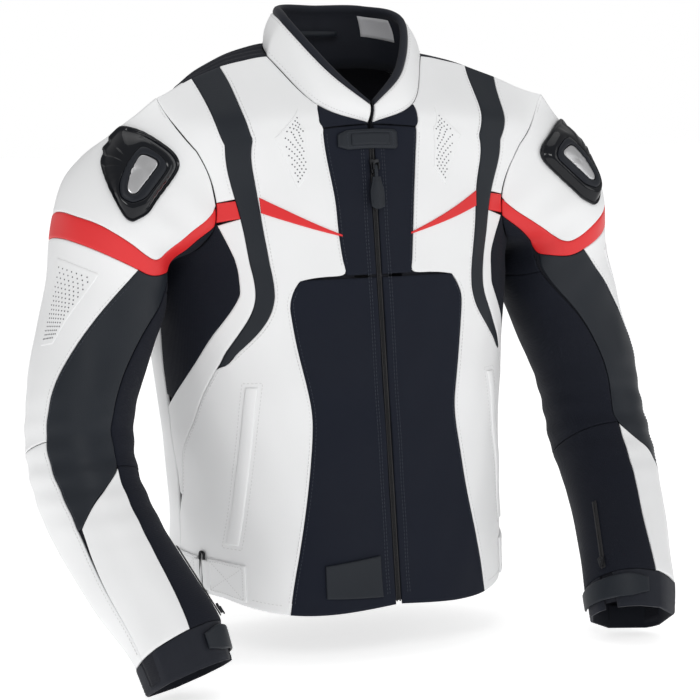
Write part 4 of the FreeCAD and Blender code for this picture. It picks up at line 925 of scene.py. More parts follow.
# ---- air vents
def dots(form, area, across, along_count, size, height):
    """Perforations in staggered rows over an area, drawn as grey discs on the surface; their grey is painted shade
    inside the holes.
    """
    centres = []
    for j in range(along_count):
        for i in range(across):
            a = (i + 0.5 + 0.5 * (j % 2)) / (across + 0.5)
            b = (j + 0.5) / along_count
            centres.append((a, b))
    a, b = np.array(centres).T
    p, q = area(a, b)
    here = raised(form, p, q, np.full(len(p), height))
    n = normal(form, p, q)
    east = unit(np.cross(V(0, 0, 1), n))
    north = np.cross(n, east)
    turns = np.linspace(0, 2 * np.pi, 8, endpoint=False)
    rim = [here + east * (size * math.cos(t)) + north * (size * math.sin(t)) + n * 0.12 for t in turns]
    low = [r - n * 0.3 for r in rim]
    points = np.stack(rim + low, 1).reshape(-1, 3)
    faces = []
    for k in range(len(here)):
        s = 16 * k
        faces.append(tuple(s + i for i in range(8)))
        faces.append(tuple(s + 8 + i for i in range(7, -1, -1)))
        faces += [(s + i, s + 8 + i, s + 8 + (i + 1) % 8, s + (i + 1) % 8) for i in range(8)]
    return points, faces


CHEST_VENT_INNER = [(0.106, 0.911), (0.23, 0.855), (0.248, 0.813), (0.234, 0.766)]
CHEST_VENT_OUTER = [(0.392, 0.835), (0.36, 0.802), (0.32, 0.765), (0.284, 0.731)]
VENT_TOP = 0.9
SLEEVE_VENT = ((0.262, 6), (0.272, 55), (0.402, 24), (0.408, 8))


def inset(corners, share):
    middle = np.mean(np.array(corners), 0)
    return [tuple(mix(np.array(c), middle, share)) for c in corners]


def build_vents():
    area = strip(knots(*CHEST_VENT_INNER), knots(*CHEST_VENT_OUTER))
    add("chest_vents", both(patch(front, area, -0.2, VENT_TOP, 10, 24, depth=0.8)), "white_leather")
    # the holes are grey discs on the patch: painted shade, not openings
    holes = dots(front, lambda a, b: area(mix(0.1, 0.9, a), mix(0.04, 0.96, b)), 5, 12, 0.9, VENT_TOP)
    add("chest_vent_holes", both(holes), "hole_shade")
    for side, turned in (("left", False), ("right", True)):
        part = patch(sleeve, four_corners(*SLEEVE_VENT), -0.2, VENT_TOP, 10, 20, depth=0.8)
        add("sleeve_vent_" + side, part, "white_leather", "upper_arm_" + side, mirror=turned)
        holes = dots(sleeve, four_corners(*inset(SLEEVE_VENT, 0.12)), 7, 17, 0.9, VENT_TOP)
        add("sleeve_vent_holes_" + side, holes, "hole_shade", "upper_arm_" + side, mirror=turned)


# ---- front zip
ZIP_UP = unit(PIT - V(0, HEM_FRONT_Y, 0))
ZIP_OUT = V(0, -ZIP_UP[2], ZIP_UP[1])
ZIP_START = V(0, HEM_FRONT_Y, 0)
SLIDER_AT = FRONT_LENGTH - 44


def on_zip(x, up, out):
    """Point in the zip's own directions, in mm."""
    return ZIP_START + V(1, 0, 0) * x + ZIP_UP * up + ZIP_OUT * out


def plate(outline, low, high, place, bevel=0.5):
    """Flat piece with a rounded edge: outline of (x, y), heights low to high, put in place by a function."""
    outline = np.array(outline, float)
    middle = outline.mean(0)

    def ring(shrink, height):
        inner = middle + (outline - middle) * (1 - shrink / np.maximum(np.linalg.norm(outline - middle, axis=1), 1)
                                               )[:, None]
        return [place(x, y, height) for x, y in inner]
    rings = [ring(bevel, low), ring(0, low + bevel), ring(0, high - bevel), ring(bevel * 0.4, high - bevel * 0.3),
             ring(bevel * 1.3, high)]
    count = len(outline)
    points = np.array([p for r in rings for p in r])
    faces = [(i * count + j, i * count + (j + 1) % count, (i + 1) * count + (j + 1) % count, (i + 1) * count + j)
             for i in range(len(rings) - 1) for j in range(count)]
    faces += [tuple(range(count - 1, -1, -1)), tuple((len(rings) - 1) * count + j for j in range(count))]
    return points, faces


def oval(half_x, half_y, power=2.6, count=28, middle=(0, 0)):
    turns = np.linspace(0, 2 * np.pi, count, endpoint=False)
    return [(middle[0] + half_x * np.sign(math.cos(t)) * abs(math.cos(t)) ** (2 / power),
             middle[1] + half_y * np.sign(math.sin(t)) * abs(math.sin(t)) ** (2 / power)) for t in turns]


def build_zip():
    ups = np.arange(5, FRONT_LENGTH - 5, 1.7)
    teeth = []
    for side in (-1, 1):
        centres = np.array([on_zip(side * 0.9, up + 0.85 * (side > 0), -0.9) for up in ups])
        across = np.tile(V(1.0, 0, 0), (len(ups), 1))
        teeth.append(loaves(centres, across, np.tile(ZIP_OUT, (len(ups), 1)), 2.2, 1.1, 0.7, 0.5))
    for side in (-1, 1):
        path = [on_zip(side * 2.0, up, -1.7) for up in np.linspace(3, FRONT_LENGTH - 3, 60)]
        teeth.append(ribbon(path, 0.8, 0.9, V(1.0, 0, 0)))
    path = [on_zip(0, up, -WALL - 0.5) for up in np.linspace(4, FRONT_LENGTH - 4, 60)]
    add("front_zip_tape", ribbon(path, 13, 0.6, V(1.0, 0, 0)), "lining")
    add("front_zip_chain", joined(*teeth), "black_plastic", nodes=["front_zip_chain"])
    base = LIFT

    def put(x, y, h):
        return on_zip(x, SLIDER_AT + y, h)
    body = plate([(-3.4, -8), (3.4, -8), (4.0, -7), (4.6, 0), (6, 5.5), (5.2, 7.6), (2.5, 8), (0, 7.2), (-2.5, 8),
                  (-5.2, 7.6), (-6, 5.5), (-4.6, 0), (-4.0, -7)], base, base + 3, put)
    ears = [plate(oval(0.8, 4, 4, 12, (x, 0)), base + 2.5, base + 7, put, 0.3) for x in (-3.4, 3.4)]
    add("front_zip_slider", joined(body, *ears), "dark_metal", "zip_slider", ["front_zip_slider"])
    pin = base + 5.2
    eye = plate(oval(2.2, 7.6, 4, 20, (0, -6.2)), pin - 0.9, pin + 0.9, put, 0.4)
    rows = np.linspace(0, 1, 15)
    width = 5.2 + 3.8 * smooth(rows * 1.6) - 0.2 * rows
    tail = [(-w, -12 - 30 * r) for r, w in zip(rows, width)]
    tail += [(9 * math.cos(t), -42 + 6.2 * math.sin(t)) for t in np.linspace(np.pi, 2 * np.pi, 11)]
    tail += [(w, -12 - 30 * r) for r, w in zip(rows[::-1], width[::-1])]
    tag = plate(tail, pin - 1.1, pin + 1.1, put, 0.5)
    frame_line = plate([(x * 0.72, -30 + (y + 30) * 0.8) for x, y in tail], pin + 0.9, pin + 1.5, put, 0.4)
    add("front_zip_puller", joined(eye, tag, frame_line), "charcoal_leather", "zip_puller", ["front_zip_puller"])


# ---- tabs, straps and buckles
TAB_LIFT, STRAP_WALL, STRAP_HEIGHT = 0.5, 2.4, 40
COLLAR_TAB_UP, COLLAR_TAB_HALF, COLLAR_TAB_REACH = FRONT_LENGTH - 17, 11, (-44, 32)
HEM_TAB_X, HEM_TAB_V = (-88, -21), (0.018, 0.088)
V_STRAP = (0.008, 0.072)
BUCKLE_U, BUCKLE_WIRE, LOOP_PARTING = 0.825, 1.6, 0.004


def tab_seat(x, up):
    v = np.clip(up / FRONT_LENGTH * V_PIT, 0, 1)
    p = front(share_at(v, np.abs(x)), v)
    return np.stack([x, p[:, 1], p[:, 2]], -1)


def collar_tab_part(low, high, half_share=1.0, ends=(0.0, 1.0), edge=True):
    """Leather tab over the top of the zip, narrower at the wearer's right end."""
    a = np.linspace(ends[0], ends[1], 25)
    rows = 9
    taper = np.where(a < 0.16, 0.62 + 0.38 * a / 0.16, 1.0)
    taper = np.minimum(taper, 1 - 0.25 * np.clip((a - 0.97) / 0.03, 0, 1))
    surfaces = []
    for height in (high, low):
        lines = []
        for j in range(rows):
            y = 2 * j / (rows - 1) - 1
            x = mix(COLLAR_TAB_REACH[0], COLLAR_TAB_REACH[1], a)
            up = COLLAR_TAB_UP + COLLAR_TAB_HALF * half_share * y * taper
            drop = 0.0
            if edge and height == high:
                near = np.minimum(COLLAR_TAB_HALF * (1 - abs(y)), np.minimum(a, 1 - a) * 76)
                drop = roll(near, 0.9, 2.4)
            lines.append(tab_seat(x, up) + ZIP_OUT * (height - drop)[:, None] if edge and height == high
                         else tab_seat(x, up) + ZIP_OUT * height)
        surfaces.append(np.stack(lines))
    return shell(surfaces[0], surfaces[1])


def hem_tab_area(a, b):
    x = mix(HEM_TAB_X[1], HEM_TAB_X[0], a)
    middle, half = sum(HEM_TAB_V) / 2, (HEM_TAB_V[1] - HEM_TAB_V[0]) / 2
    v = middle + half * (2 * b - 1) * mix(1.0, 0.72, a)
    return share_at(v, np.abs(x)), v


def tube(path, radius, closed=False, sides=10):
    """Round wire along a path of points."""
    path = np.array(path, float)
    ahead = np.roll(path, -1, 0) - np.roll(path, 1, 0) if closed else np.gradient(path, axis=0)
    tangent = unit(ahead)
    lean = np.tile(V(0.31, 0.83, 0.46), (len(path), 1))
    first = unit(np.cross(tangent, lean))
    second = np.cross(tangent, first)
    turns = np.linspace(0, 2 * np.pi, sides, endpoint=False)
    rings = np.stack([path + radius * (first * math.cos(t) + second * math.sin(t)) for t in turns], 1)
    last = len(path) if closed else len(path) - 1
    faces = [(i * sides + j, i * sides + (j + 1) % sides, ((i + 1) % len(path)) * sides + (j + 1) % sides,
              ((i + 1) % len(path)) * sides + j) for i in range(last) for j in range(sides)]
    if not closed:
        faces += [tuple(range(sides - 1, -1, -1)), tuple((len(path) - 1) * sides + j for j in range(sides))]
    return rings.reshape(-1, 3), faces


def cross_stitches(form, corners, height):
    """Stitched rectangle with a cross in it."""
    lines = ring_edges(*corners) + [[corners[0], corners[2]], [corners[1], corners[3]]]
    return [stitching(form, [tuple(p) for p in line], 0, height, 3.2) for line in lines]


def build_fittings():
    top = TAB_LIFT + STRAP_WALL
    tab = collar_tab_part(TAB_LIFT, top)
    pad = collar_tab_part(top - 0.4, top + 0.9, 0.62, (0.22, 0.86))
    add("collar_tab", joined(tab, pad), "charcoal_leather", "neck_tab", ["collar_tab"])
    corners = [(-32, -8.2), (26, -8.2), (26, 8.2), (-32, 8.2)]
    lines = []
    for i in range(4):
        (x0, y0), (x1, y1) = corners[i], corners[(i + 1) % 4]
        count = int(math.hypot(x1 - x0, y1 - y0) / 3)
        s = (np.arange(count) + 0.5) / count
        here = tab_seat(mix(x0, x1, s), COLLAR_TAB_UP + mix(y0, y1, s)) + ZIP_OUT * (top - 0.05)
        turned = unit(np.gradient(here, axis=0))
        lines.append(loaves(here, turned, np.tile(ZIP_OUT, (count, 1)), 2.2, 0.7, 0.3))
    add("collar_tab_stitches", joined(*lines), "dark_thread", "neck_tab")
    add("hem_tab", patch(front, hem_tab_area, TAB_LIFT, TAB_LIFT + STRAP_WALL, 14, 12, depth=1.0), "charcoal_leather",
        "lower_tab", ["hem_tab"], mirror=True)
    corners = [(0.59, V_STRAP[0]), (0.79, V_STRAP[0]), (0.79, V_STRAP[1]), (0.59, V_STRAP[1])]
    part = patch(front, four_corners(*corners), LIFT - 0.3, LIFT + STRAP_WALL, 14, 12)
    loop = strap_loop(0.772, BUCKLE_U - LOOP_PARTING)
    add("waist_tabs", both(joined(part, loop)), "white_leather", nodes=["waist_tabs"])
    small = inset(corners, 0.14)
    add("waist_tab_stitches", both(joined(*cross_stitches(front, small, LIFT + STRAP_WALL - 0.05))), "white_thread")
    pieces = [patch(front, four_corners((0.852, V_STRAP[0]), (0.998, V_STRAP[0]), (0.998, V_STRAP[1]),
                                        (0.852, V_STRAP[1])), LIFT - 0.3, LIFT + STRAP_WALL, 12, 12),
              patch(back, four_corners((0.55, V_STRAP[0]), (0.998, V_STRAP[0]), (0.998, V_STRAP[1]),
                                       (0.55, V_STRAP[1])), LIFT - 0.3, LIFT + STRAP_WALL, 30, 12)]
    pieces.append(strap_loop(BUCKLE_U + LOOP_PARTING, 0.872))
    add("waist_straps", both(joined(*pieces)), "white_leather", nodes=["waist_straps"])
    corners = [(0.875, V_STRAP[0] + 0.006), (0.975, V_STRAP[0] + 0.006), (0.975, V_STRAP[1] - 0.006),
               (0.875, V_STRAP[1] - 0.006)]
    lines = cross_stitches(front, corners, LIFT + STRAP_WALL - 0.05)
    add("waist_strap_stitches", both(joined(*lines)), "white_thread")
    for side, turned in (("left", False), ("right", True)):
        add("waist_buckle_" + side, buckle(), "dark_metal", "buckle_" + side, ["waist_buckle_" + side], mirror=turned)
    corners = ((0.62, 0.105), (0.685, 0.105), (0.51, 0.39), (0.455, 0.39))
    welt = patch(front, four_corners(*corners), LIFT - 0.4, lambda a, b: LIFT + 1.2 + 0.9 * np.sin(np.pi * a), 10, 50,
                 depth=0.8)
    add("pocket_welts", both(welt), "white_leather", nodes=["pocket_welts"])
    grown = inset(corners, -0.05)
    grown = [(p + (0.016 if i in (1, 2) else -0.016), q) for i, (p, q) in enumerate(grown)]
    lines = [stitching(front, line, 0, 0.0) for line in ring_edges(*grown)]
    add("pocket_stitches", both(joined(*lines)), "white_thread")


def strap_loop(u0, u1):
    """Strap turned back over a bar of the buckle."""
    corners = (u0, 0.012), (u1, 0.012), (u1, 0.068), (u0, 0.068)
    return patch(front, four_corners(*corners), LIFT + 0.4,
                 lambda a, b: LIFT + STRAP_WALL + 2.4 * np.sin(np.pi * a) ** 0.7, 10, 12)


def buckle():
    v = np.array([sum(V_STRAP) / 2])
    u = np.array([BUCKLE_U])
    base, n = front(u, v)[0], normal(front, u, v)[0]
    across = unit(np.cross(V(0, 0, 1), n))
    up = np.cross(n, across)
    wave = wrinkle(base[None])[0]
    centre = base + n * (BUCKLE_WIRE + LIFT + wave + 0.6)
    tall, wide, corner = STRAP_HEIGHT / 2 + 4.2, 3.3, 2.2
    path = []
    for sx, sy, start in ((1, 1, 0), (-1, 1, 90), (-1, -1, 180), (1, -1, 270)):
        for turn in (0, 30, 60, 90):
            angle = math.radians(start + turn)
            x = sx * (wide - corner) + corner * math.cos(angle)
            y = sy * (tall - corner) + corner * math.sin(angle)
            path.append(centre + across * x + up * y)
        if start in (0, 180):
            continue
        for k in range(1, 12):
            path.append(centre + across * (sx * wide) + up * (sy * (tall - corner) * (1 - k / 6)))
    return tube(path, BUCKLE_WIRE, closed=True)


# ---- sleeves
HALF_BAND_TOP = [(0.0, 100), (0.04, 110), (0.08, 119), (0.12, 125), (0.155, 123), (0.18, 117), (0.192, 110),
                 (0.196, 101), (0.196, 92), (0.195, 80), (0.196, 55), (0.20, 25)]
HALF_BAND_BOTTOM = [(0.0, 113), (0.04, 126), (0.08, 140), (0.12, 149), (0.168, 146), (0.207, 131), (0.232, 116),
                    (0.241, 104), (0.241, 92), (0.240, 80), (0.238, 55), (0.236, 25)]
BACK_SEAM = -80
ELBOW_OUTER = [(0.245, 92), (0.30, 74), (0.38, 54), (0.47, 36), (0.55, 28), (0.62, 31), (0.66, 32), (0.70, 31),
               (0.722, 29)]
ELBOW_INNER = [(0.175, 150), (0.24, 143), (0.31, 128), (0.38, 112), (0.45, 105), (0.54, 103), (0.635, 102),
               (0.675, 78), (0.705, 50), (0.724, 33)]
FOREARM_TIP, S_GUSSET, S_WRIST = 0.722, 0.258, 0.945
ROOT_GAP, CAP_END = 0.0004, 0.006


def both_ways(half):
    return half + [(half[-1][0] - 0.001, 0)] + [(s, -angle) for s, angle in reversed(half)]


BAND_TOP, BAND_BOTTOM = both_ways(HALF_BAND_TOP), both_ways(HALF_BAND_BOTTOM)


def elbow_outer(s):
    return curve(ELBOW_OUTER, s)


def elbow_inner(s):
    return curve(ELBOW_INNER, s)


def bordered(area, border):
    def fitted(a, b):
        p, q = area(a, b)
        p0, q0 = area(a, b * 0)
        p1, q1 = border(a)
        return p + (p1 - p0) * (1 - b)**3, q + (q1 - q0) * (1 - b)**3
    return fitted


def below_band(area, start, end):
    last = len(BAND_BOTTOM) - 1
    band = knots(*BAND_BOTTOM)

    def border(a):
        found = curve(band, mix(start, end, a) / last)
        return found[:, 0], found[:, 1]
    return bordered(area, border)


def forearm_edge(s):
    return curve([(0.635, 102), (0.74, 97), (0.84, 92), (S_WRIST, 82)], s)


def forearm_seam(s):
    return curve([(FOREARM_TIP, 29), (0.84, 18), (S_WRIST, 8)], s)


def sleeve_areas():
    """Name, area, wall, rows, columns, material and the joint the panel lies at."""
    reach = BAND_TOP[0][1]
    cap = strip(knots((ROOT_GAP, reach), (ROOT_GAP, -reach)), knots(*BAND_TOP))
    front_seam = HALF_BAND_BOTTOM[:4] + [(0.17, 151)] + seam_points(elbow_inner, 0.20, S_GUSSET, 3)
    rear_seam = [(s, 360 - angle) for s, angle in HALF_BAND_BOTTOM[:6]] + [(S_GUSSET, 246)]
    outer_seam = seam_points(elbow_outer, ELBOW_OUTER[0][0], ELBOW_SHARE, 14)
    upper = below_band(strip(knots(*outer_seam), knots(*[(s, BACK_SEAM) for s, _ in outer_seam])), 8, 15)
    near = seam_points(elbow_outer, ELBOW_OUTER[0][0], FOREARM_TIP, 24)
    far = seam_points(elbow_inner, ELBOW_INNER[0][0], FOREARM_TIP, 24)
    elbow = below_band(strip(knots(*near), knots(*far)), 8, 4)
    inside = seam_points(elbow_inner, S_GUSSET, 0.635, 16)
    gusset = strip(knots(*inside), knots(*[(s, 360 + BACK_SEAM) for s, _ in inside]))
    low = seam_points(elbow_outer, ELBOW_SHARE + 0.0006, FOREARM_TIP, 8) + seam_points(forearm_seam, 0.74, S_WRIST, 9)
    outer = strip(knots(*low), knots(*[(s, BACK_SEAM) for s, _ in low]))
    tip = strip(knots(*seam_points(forearm_seam, FOREARM_TIP + 0.001, S_WRIST, 10)),
                knots(*seam_points(forearm_edge, 0.645, S_WRIST, 10)))

    def tip_border(a):
        s = mix(FOREARM_TIP, 0.639, a)
        return s + 0.001, elbow_inner(s)
    inner = between(forearm_edge, constant(360 + BACK_SEAM), 0.6356, S_WRIST)
    return [("sleeve_cap", lambda a, b: cap(a, mix(CAP_END, 1 - CAP_END, b)), WALL, 26, 90, "white_leather", "shoulder"),
            ("red_band", strip(knots(*BAND_TOP), knots(*BAND_BOTTOM)), WALL, 6, 130, "red_leather", "shoulder"),
            ("underarm_gusset", strip(knots(*front_seam), knots(*rear_seam)), STRETCH_WALL, 30, 24, "stretch_fabric",
             "shoulder"),
            ("upper_outer", upper, WALL, 34, 50, "white_leather", "elbow"),
            ("elbow_panel", elbow, WALL, 20, 90, "charcoal_leather", "elbow"),
            ("elbow_gusset", gusset, STRETCH_WALL, 36, 60, "stretch_fabric", "elbow"),
            ("forearm_outer", outer, WALL, 30, 64, "white_leather", "elbow"),
            ("forearm_front", bordered(tip, tip_border), WALL, 16, 50, "white_leather", "elbow"),
            ("forearm_inner", lambda a, b: inner(a, b)[::-1], STRETCH_WALL, 32, 50, "stretch_fabric",
             "elbow")]


CUFF_SLIT = 152
STRAP_S, STRAP_ANGLE = (0.952, 0.985), (96, 208)
CUFF_ZIP_S, CUFF_ZIP_BASE = (0.80, 0.935), 1.6


def cuff_part():
    def area(a, b):
        return mix(S_WRIST, 1.0, a), mix(CUFF_SLIT + 3, CUFF_SLIT + 357, b)
    return panel(sleeve, area, 3.6, 10, 110, lift=0.6, extra=lambda a, b: 0.25 * np.sin(2 * np.pi * 8 * a) * (a > 0.5))


def cuff_strap_part():
    def area(a, b):
        taper = mix(0.62, 1.0, np.minimum(b * 5, 1.0))
        middle, half = sum(STRAP_S) / 2, (STRAP_S[1] - STRAP_S[0]) / 2
        return middle + half * taper * (2 * a - 1), mix(STRAP_ANGLE[0], STRAP_ANGLE[1], b)
    return patch(sleeve, area, 1.0, 1.0 + STRAP_WALL, 10, 40, depth=1.0)


def cuff_zip_line():
    ends = sleeve(np.array(CUFF_ZIP_S), np.array([CUFF_SLIT, CUFF_SLIT], float))
    out = normal(sleeve, np.array([sum(CUFF_ZIP_S) / 2]), np.array([float(CUFF_SLIT)]))[0]
    way = unit(ends[1] - ends[0])
    return ends, way, unit(out - way * (out @ way))


def cuff_zip_parts():
    ends, way, out = cuff_zip_line()
    length = np.linalg.norm(ends[1] - ends[0])
    across = np.cross(out, way)
    at = np.arange(1, length - 1, 1.6)
    parts = []
    for side in (-1, 1):
        centres = ends[0] + way * (at + 0.8 * (side > 0))[:, None] + across * (0.9 * side) + out * 2.2
        count = (len(at), 1)
        parts.append(loaves(centres, np.tile(across, count), np.tile(out, count), 2.0, 1.0, 0.8, 0.4))
        path = [ends[0] + way * x + across * (1.9 * side) + out * 1.9 for x in np.linspace(0, length, 20)]
        parts.append(ribbon(path, 1.0, 0.8, across))
    start = ends[0] + way * (length - 13) + out * 3.5

    def put(x, y, h):
        return start + across * x + way * y + out * h
    slider = joined(plate([(-4.4, 1), (-2.6, 0), (2.6, 0), (4.4, 1), (3.4, 6), (2.8, 11), (-2.8, 11), (-3.4, 6)], 0, 2.4,
                          put, 0.4),
                    plate(oval(2.1, 5, 3.5, 20, (0, 9)), 2.0, 3.6, put, 0.4))
    return joined(*parts), slider


def build_sleeves():
    d, low, high = ARMHOLE_BLEND
    arm = (to_row(V(248, 20, 490)))
    start = arm + d * ((low - arm @ d) / (d @ d))
    end = arm + d * ((high - arm @ d) / (d @ d))
    axis = unit(to_row(ARM_STATIONS[4][1]) - to_row(ARM_STATIONS[2][1]))
    centre = to_row(ARM_STATIONS[3][1])
    elbow_ends = (centre - axis * 0.075, centre + axis * 0.055)
    for side, turned in (("left", False), ("right", True)):
        upper, lower = "upper_arm_" + side, "forearm_" + side
        for name, area, wall, rows, columns, material, joint in sleeve_areas():
            part = panel(sleeve, area, wall, rows, columns)
            bend = {"shoulder": ("jacket", upper, start, end), "elbow": (upper, lower, *elbow_ends)}[joint]
            add(f"{name}_{side}", part, material, lower, [f"{name}_{side}"], turned, bend)
        add("upper_sleeve_lining_" + side, tube_lining(0.012, 0.36, 24), "lining", mirror=turned,
            blend=("jacket", upper, start, end))
        add("lower_sleeve_lining_" + side, tube_lining(0.352, 0.99, 50), "lining", mirror=turned,
            blend=(upper, lower, *elbow_ends))
        add("cuff_" + side, cuff_part(), "neoprene", lower, ["cuff_" + side], turned)
        chain, slider = cuff_zip_parts()
        add("cuff_zip_teeth_" + side, chain, "black_plastic", lower, mirror=turned)
        add("cuff_zip_slider_" + side, slider, "dark_metal", "cuff_zip_" + side, ["cuff_zip_slider_" + side], turned)
        add("cuff_strap_" + side, cuff_strap_part(), "charcoal_leather", "wrist_strap_" + side,
            ["cuff_strap_" + side], turned)
        build_arm_stitches(side, turned, (upper, lower, *elbow_ends))
        build_armour(side, turned, (upper, lower, *elbow_ends), ("jacket", upper, start, end))


def tube_lining(s0, s1, rows):
    """Thin dark tube just inside the sleeve's panels."""
    s, angle = np.meshgrid(np.linspace(s0, s1, rows), np.linspace(0, 359.9, 73), indexing="ij")
    walls = [raised(sleeve, s.ravel(), angle.ravel(), np.full(s.size, -WALL - depth)).reshape(*s.shape, 3)
             for depth in (0.08, 0.4)]
    return shell(walls[0], walls[1])


def build_arm_stitches(side, turned, bend):
    off = 3.2
    upper = [stitching(sleeve, seam_points(elbow_outer, 0.275, ELBOW_SHARE - 0.01, 20), off)]
    dark = [stitching(sleeve, seam_points(elbow_outer, 0.275, FOREARM_TIP - 0.02, 30), -off)]
    lower = [stitching(sleeve, seam_points(elbow_outer, 0.575, FOREARM_TIP, 10)
                       + seam_points(forearm_seam, 0.74, S_WRIST - 0.01, 10), off)]
    add("arm_stitches_" + side, joined(*upper), "white_thread", mirror=turned, blend=bend)
    add("elbow_stitches_" + side, joined(*dark), "dark_thread", mirror=turned, blend=bend)
    add("forearm_stitches_" + side, joined(*lower), "white_thread", mirror=turned, blend=bend)


# ---- armour
CUP_LIFT = 0.7
CUP_MIDDLE = (0.093, 54.0)                      # share along the sleeve, degrees round it
MM_PER_SHARE, MM_PER_DEGREE = 650.0, 1.25
CUP_OUTLINE = [(0.055, 1), (0.026, 52), (0.037, 65), (0.122, 84), (0.156, 78), (0.161, 70), (0.113, 24),
               (0.098, 19), (0.095, 13), (0.080, 11), (0.077, 5), (0.064, 3)]
FRAME_OUTLINE = [(0.058, 36), (0.050, 51), (0.055, 61), (0.112, 73), (0.134, 69), (0.139, 60), (0.125, 52)]
PLATE_OUTLINE = [(0.068, 41.5), (0.058, 52), (0.063, 56.5), (0.117, 66.5), (0.126, 63.5), (0.124, 58.5)]
CUP_TURNS = np.linspace(-np.pi, np.pi, 180, endpoint=False)
CUP_SLOPE = [(0.0, 0.4), (0.0, 2.2), (0.02, 3.1), (0.06, 3.6), (0.11, 3.3), (0.14, 2.6), (0.18, 2.4), (0.23, 2.9),
             (0.38, 5.4), (0.56, 7.9), (0.66, 9.0), (0.74, 9.4), (0.90, 9.4), (0.96, 9.1), (1.0, 8.3)]
RIB_FROM, RIB_TO, RIB_COUNT, RIB_HEIGHT = math.radians(156), math.radians(206), 3, 1.9
POCKET_FLOOR, FRAME_TOP, PLATE_TOP = 7.0, 10.4, 8.9


def cut_corners(points, shares):
    """Closed outline with each corner cut off once for each share of the sides."""
    points = np.array(points, float)
    for share in shares:
        after = np.roll(points, -1, 0)
        points = np.stack([mix(points, after, share), mix(after, points, share)], 1).reshape(-1, 2)
    return points


def reach_of(outline):
    """Distance in mm from the cup's middle to a closed outline, for each of CUP_TURNS."""
    flat = [((angle - CUP_MIDDLE[1]) * MM_PER_DEGREE, (s - CUP_MIDDLE[0]) * MM_PER_SHARE) for s, angle in outline]
    fine = cut_corners(flat, (0.16, 0.25, 0.25))
    around = np.arctan2(fine[:, 1], fine[:, 0])
    order = np.argsort(around)
    return np.interp(CUP_TURNS, around[order], np.hypot(*fine.T)[order], period=2 * np.pi)


def cup_ring(reach, height):
    """Ring of points at a distance from the cup's middle and a height above the sleeve."""
    s = CUP_MIDDLE[0] + reach * np.sin(CUP_TURNS) / MM_PER_SHARE
    angle = CUP_MIDDLE[1] + reach * np.cos(CUP_TURNS) / MM_PER_DEGREE
    return raised(sleeve, s, angle, height + CUP_TURNS * 0.0)


def ringed(rings, closed=False):
    """Body through rings of points, capped at both ends or closed on itself."""
    count, last = len(rings[0]), len(rings) if closed else len(rings) - 1
    faces = [(i * count + j, i * count + (j + 1) % count, (i + 1) % len(rings) * count + (j + 1) % count,
              (i + 1) % len(rings) * count + j) for i in range(last) for j in range(count)]
    if not closed:
        faces += [tuple(range(count - 1, -1, -1)), tuple((len(rings) - 1) * count + j for j in range(count))]
    return np.concatenate(rings), faces


def rib_steps(share):
    """Stepped ribs on the cup's outer side."""
    turn = np.where(CUP_TURNS < 0, CUP_TURNS + 2 * np.pi, CUP_TURNS)
    along_ribs = (turn - RIB_FROM) / (RIB_TO - RIB_FROM)
    inside = (along_ribs > 0) & (along_ribs < 1)
    fade = smooth(share / 0.12) * (1 - smooth((share - 0.62) / 0.2))
    return np.where(inside, RIB_HEIGHT * ((along_ribs * RIB_COUNT) % 1.0 - 0.35), 0.0) * fade


def build_armour(side, turned, bend, shoulder_bend):
    body = "upper_arm_" + side
    outer, frame_edge, plate_edge = reach_of(CUP_OUTLINE), reach_of(FRAME_OUTLINE), reach_of(PLATE_OUTLINE)
    rings = [cup_ring(outer * 0.05, CUP_LIFT), cup_ring(outer * 0.6, CUP_LIFT)]
    rings += [cup_ring(mix(outer, frame_edge, share), CUP_LIFT + height + rib_steps(share))
              for share, height in CUP_SLOPE]
    rings += [cup_ring(mix(frame_edge, plate_edge, 0.9), CUP_LIFT + 8.2), cup_ring(plate_edge, CUP_LIFT + POCKET_FLOOR),
              cup_ring(plate_edge * 0.05, CUP_LIFT + POCKET_FLOOR)]
    add("shoulder_cup_" + side, ringed(rings), "gloss_cup", body, ["shoulder_cup_" + side], turned, shoulder_bend)
    profile = [(0.03, 7.9), (0.03, 8.9), (0.12, 9.8), (0.30, FRAME_TOP), (0.66, FRAME_TOP), (0.86, 10.1), (0.96, 9.5),
               (0.98, 8.8), (0.98, 7.9)]
    rings = [cup_ring(mix(frame_edge, plate_edge, share), CUP_LIFT + height) for share, height in profile]
    add("shoulder_frame_" + side, ringed(rings, closed=True), "satin_cup", body, mirror=turned, blend=shoulder_bend)
    rings = [cup_ring(plate_edge * 0.05, CUP_LIFT + POCKET_FLOOR + 0.2)]
    rings += [cup_ring(plate_edge * share, CUP_LIFT + height) for share, height in
              ((0.97, POCKET_FLOOR + 0.2), (0.97, PLATE_TOP - 0.6), (0.94, PLATE_TOP - 0.1), (0.88, PLATE_TOP),
               (0.5, PLATE_TOP + 0.15), (0.05, PLATE_TOP + 0.2))]
    add("shoulder_plate_" + side, ringed(rings), "brushed_plate", body, ["shoulder_plate_" + side], turned,
        shoulder_bend)
    top_of_pad = -WALL - PAD_GAP
    area = four_corners((0.09, -34), (0.07, 62), (0.19, 62), (0.19, -34), corner=0.3)
    pad = panel(sleeve, area, PAD_WALL, 16, 20, lift=top_of_pad, trim=0.0, depth=5.0)
    add("shoulder_armour_" + side, pad, "foam", body, ["shoulder_armour_" + side], turned, shoulder_bend)
    area = four_corners((0.44, 34), (0.44, 98), (0.64, 92), (0.64, 38), corner=0.3)
    pad = panel(sleeve, area, PAD_WALL, 20, 16, lift=top_of_pad, trim=0.0, depth=5.0)
    add("elbow_armour_" + side, pad, "foam", body, ["elbow_armour_" + side], turned, bend)


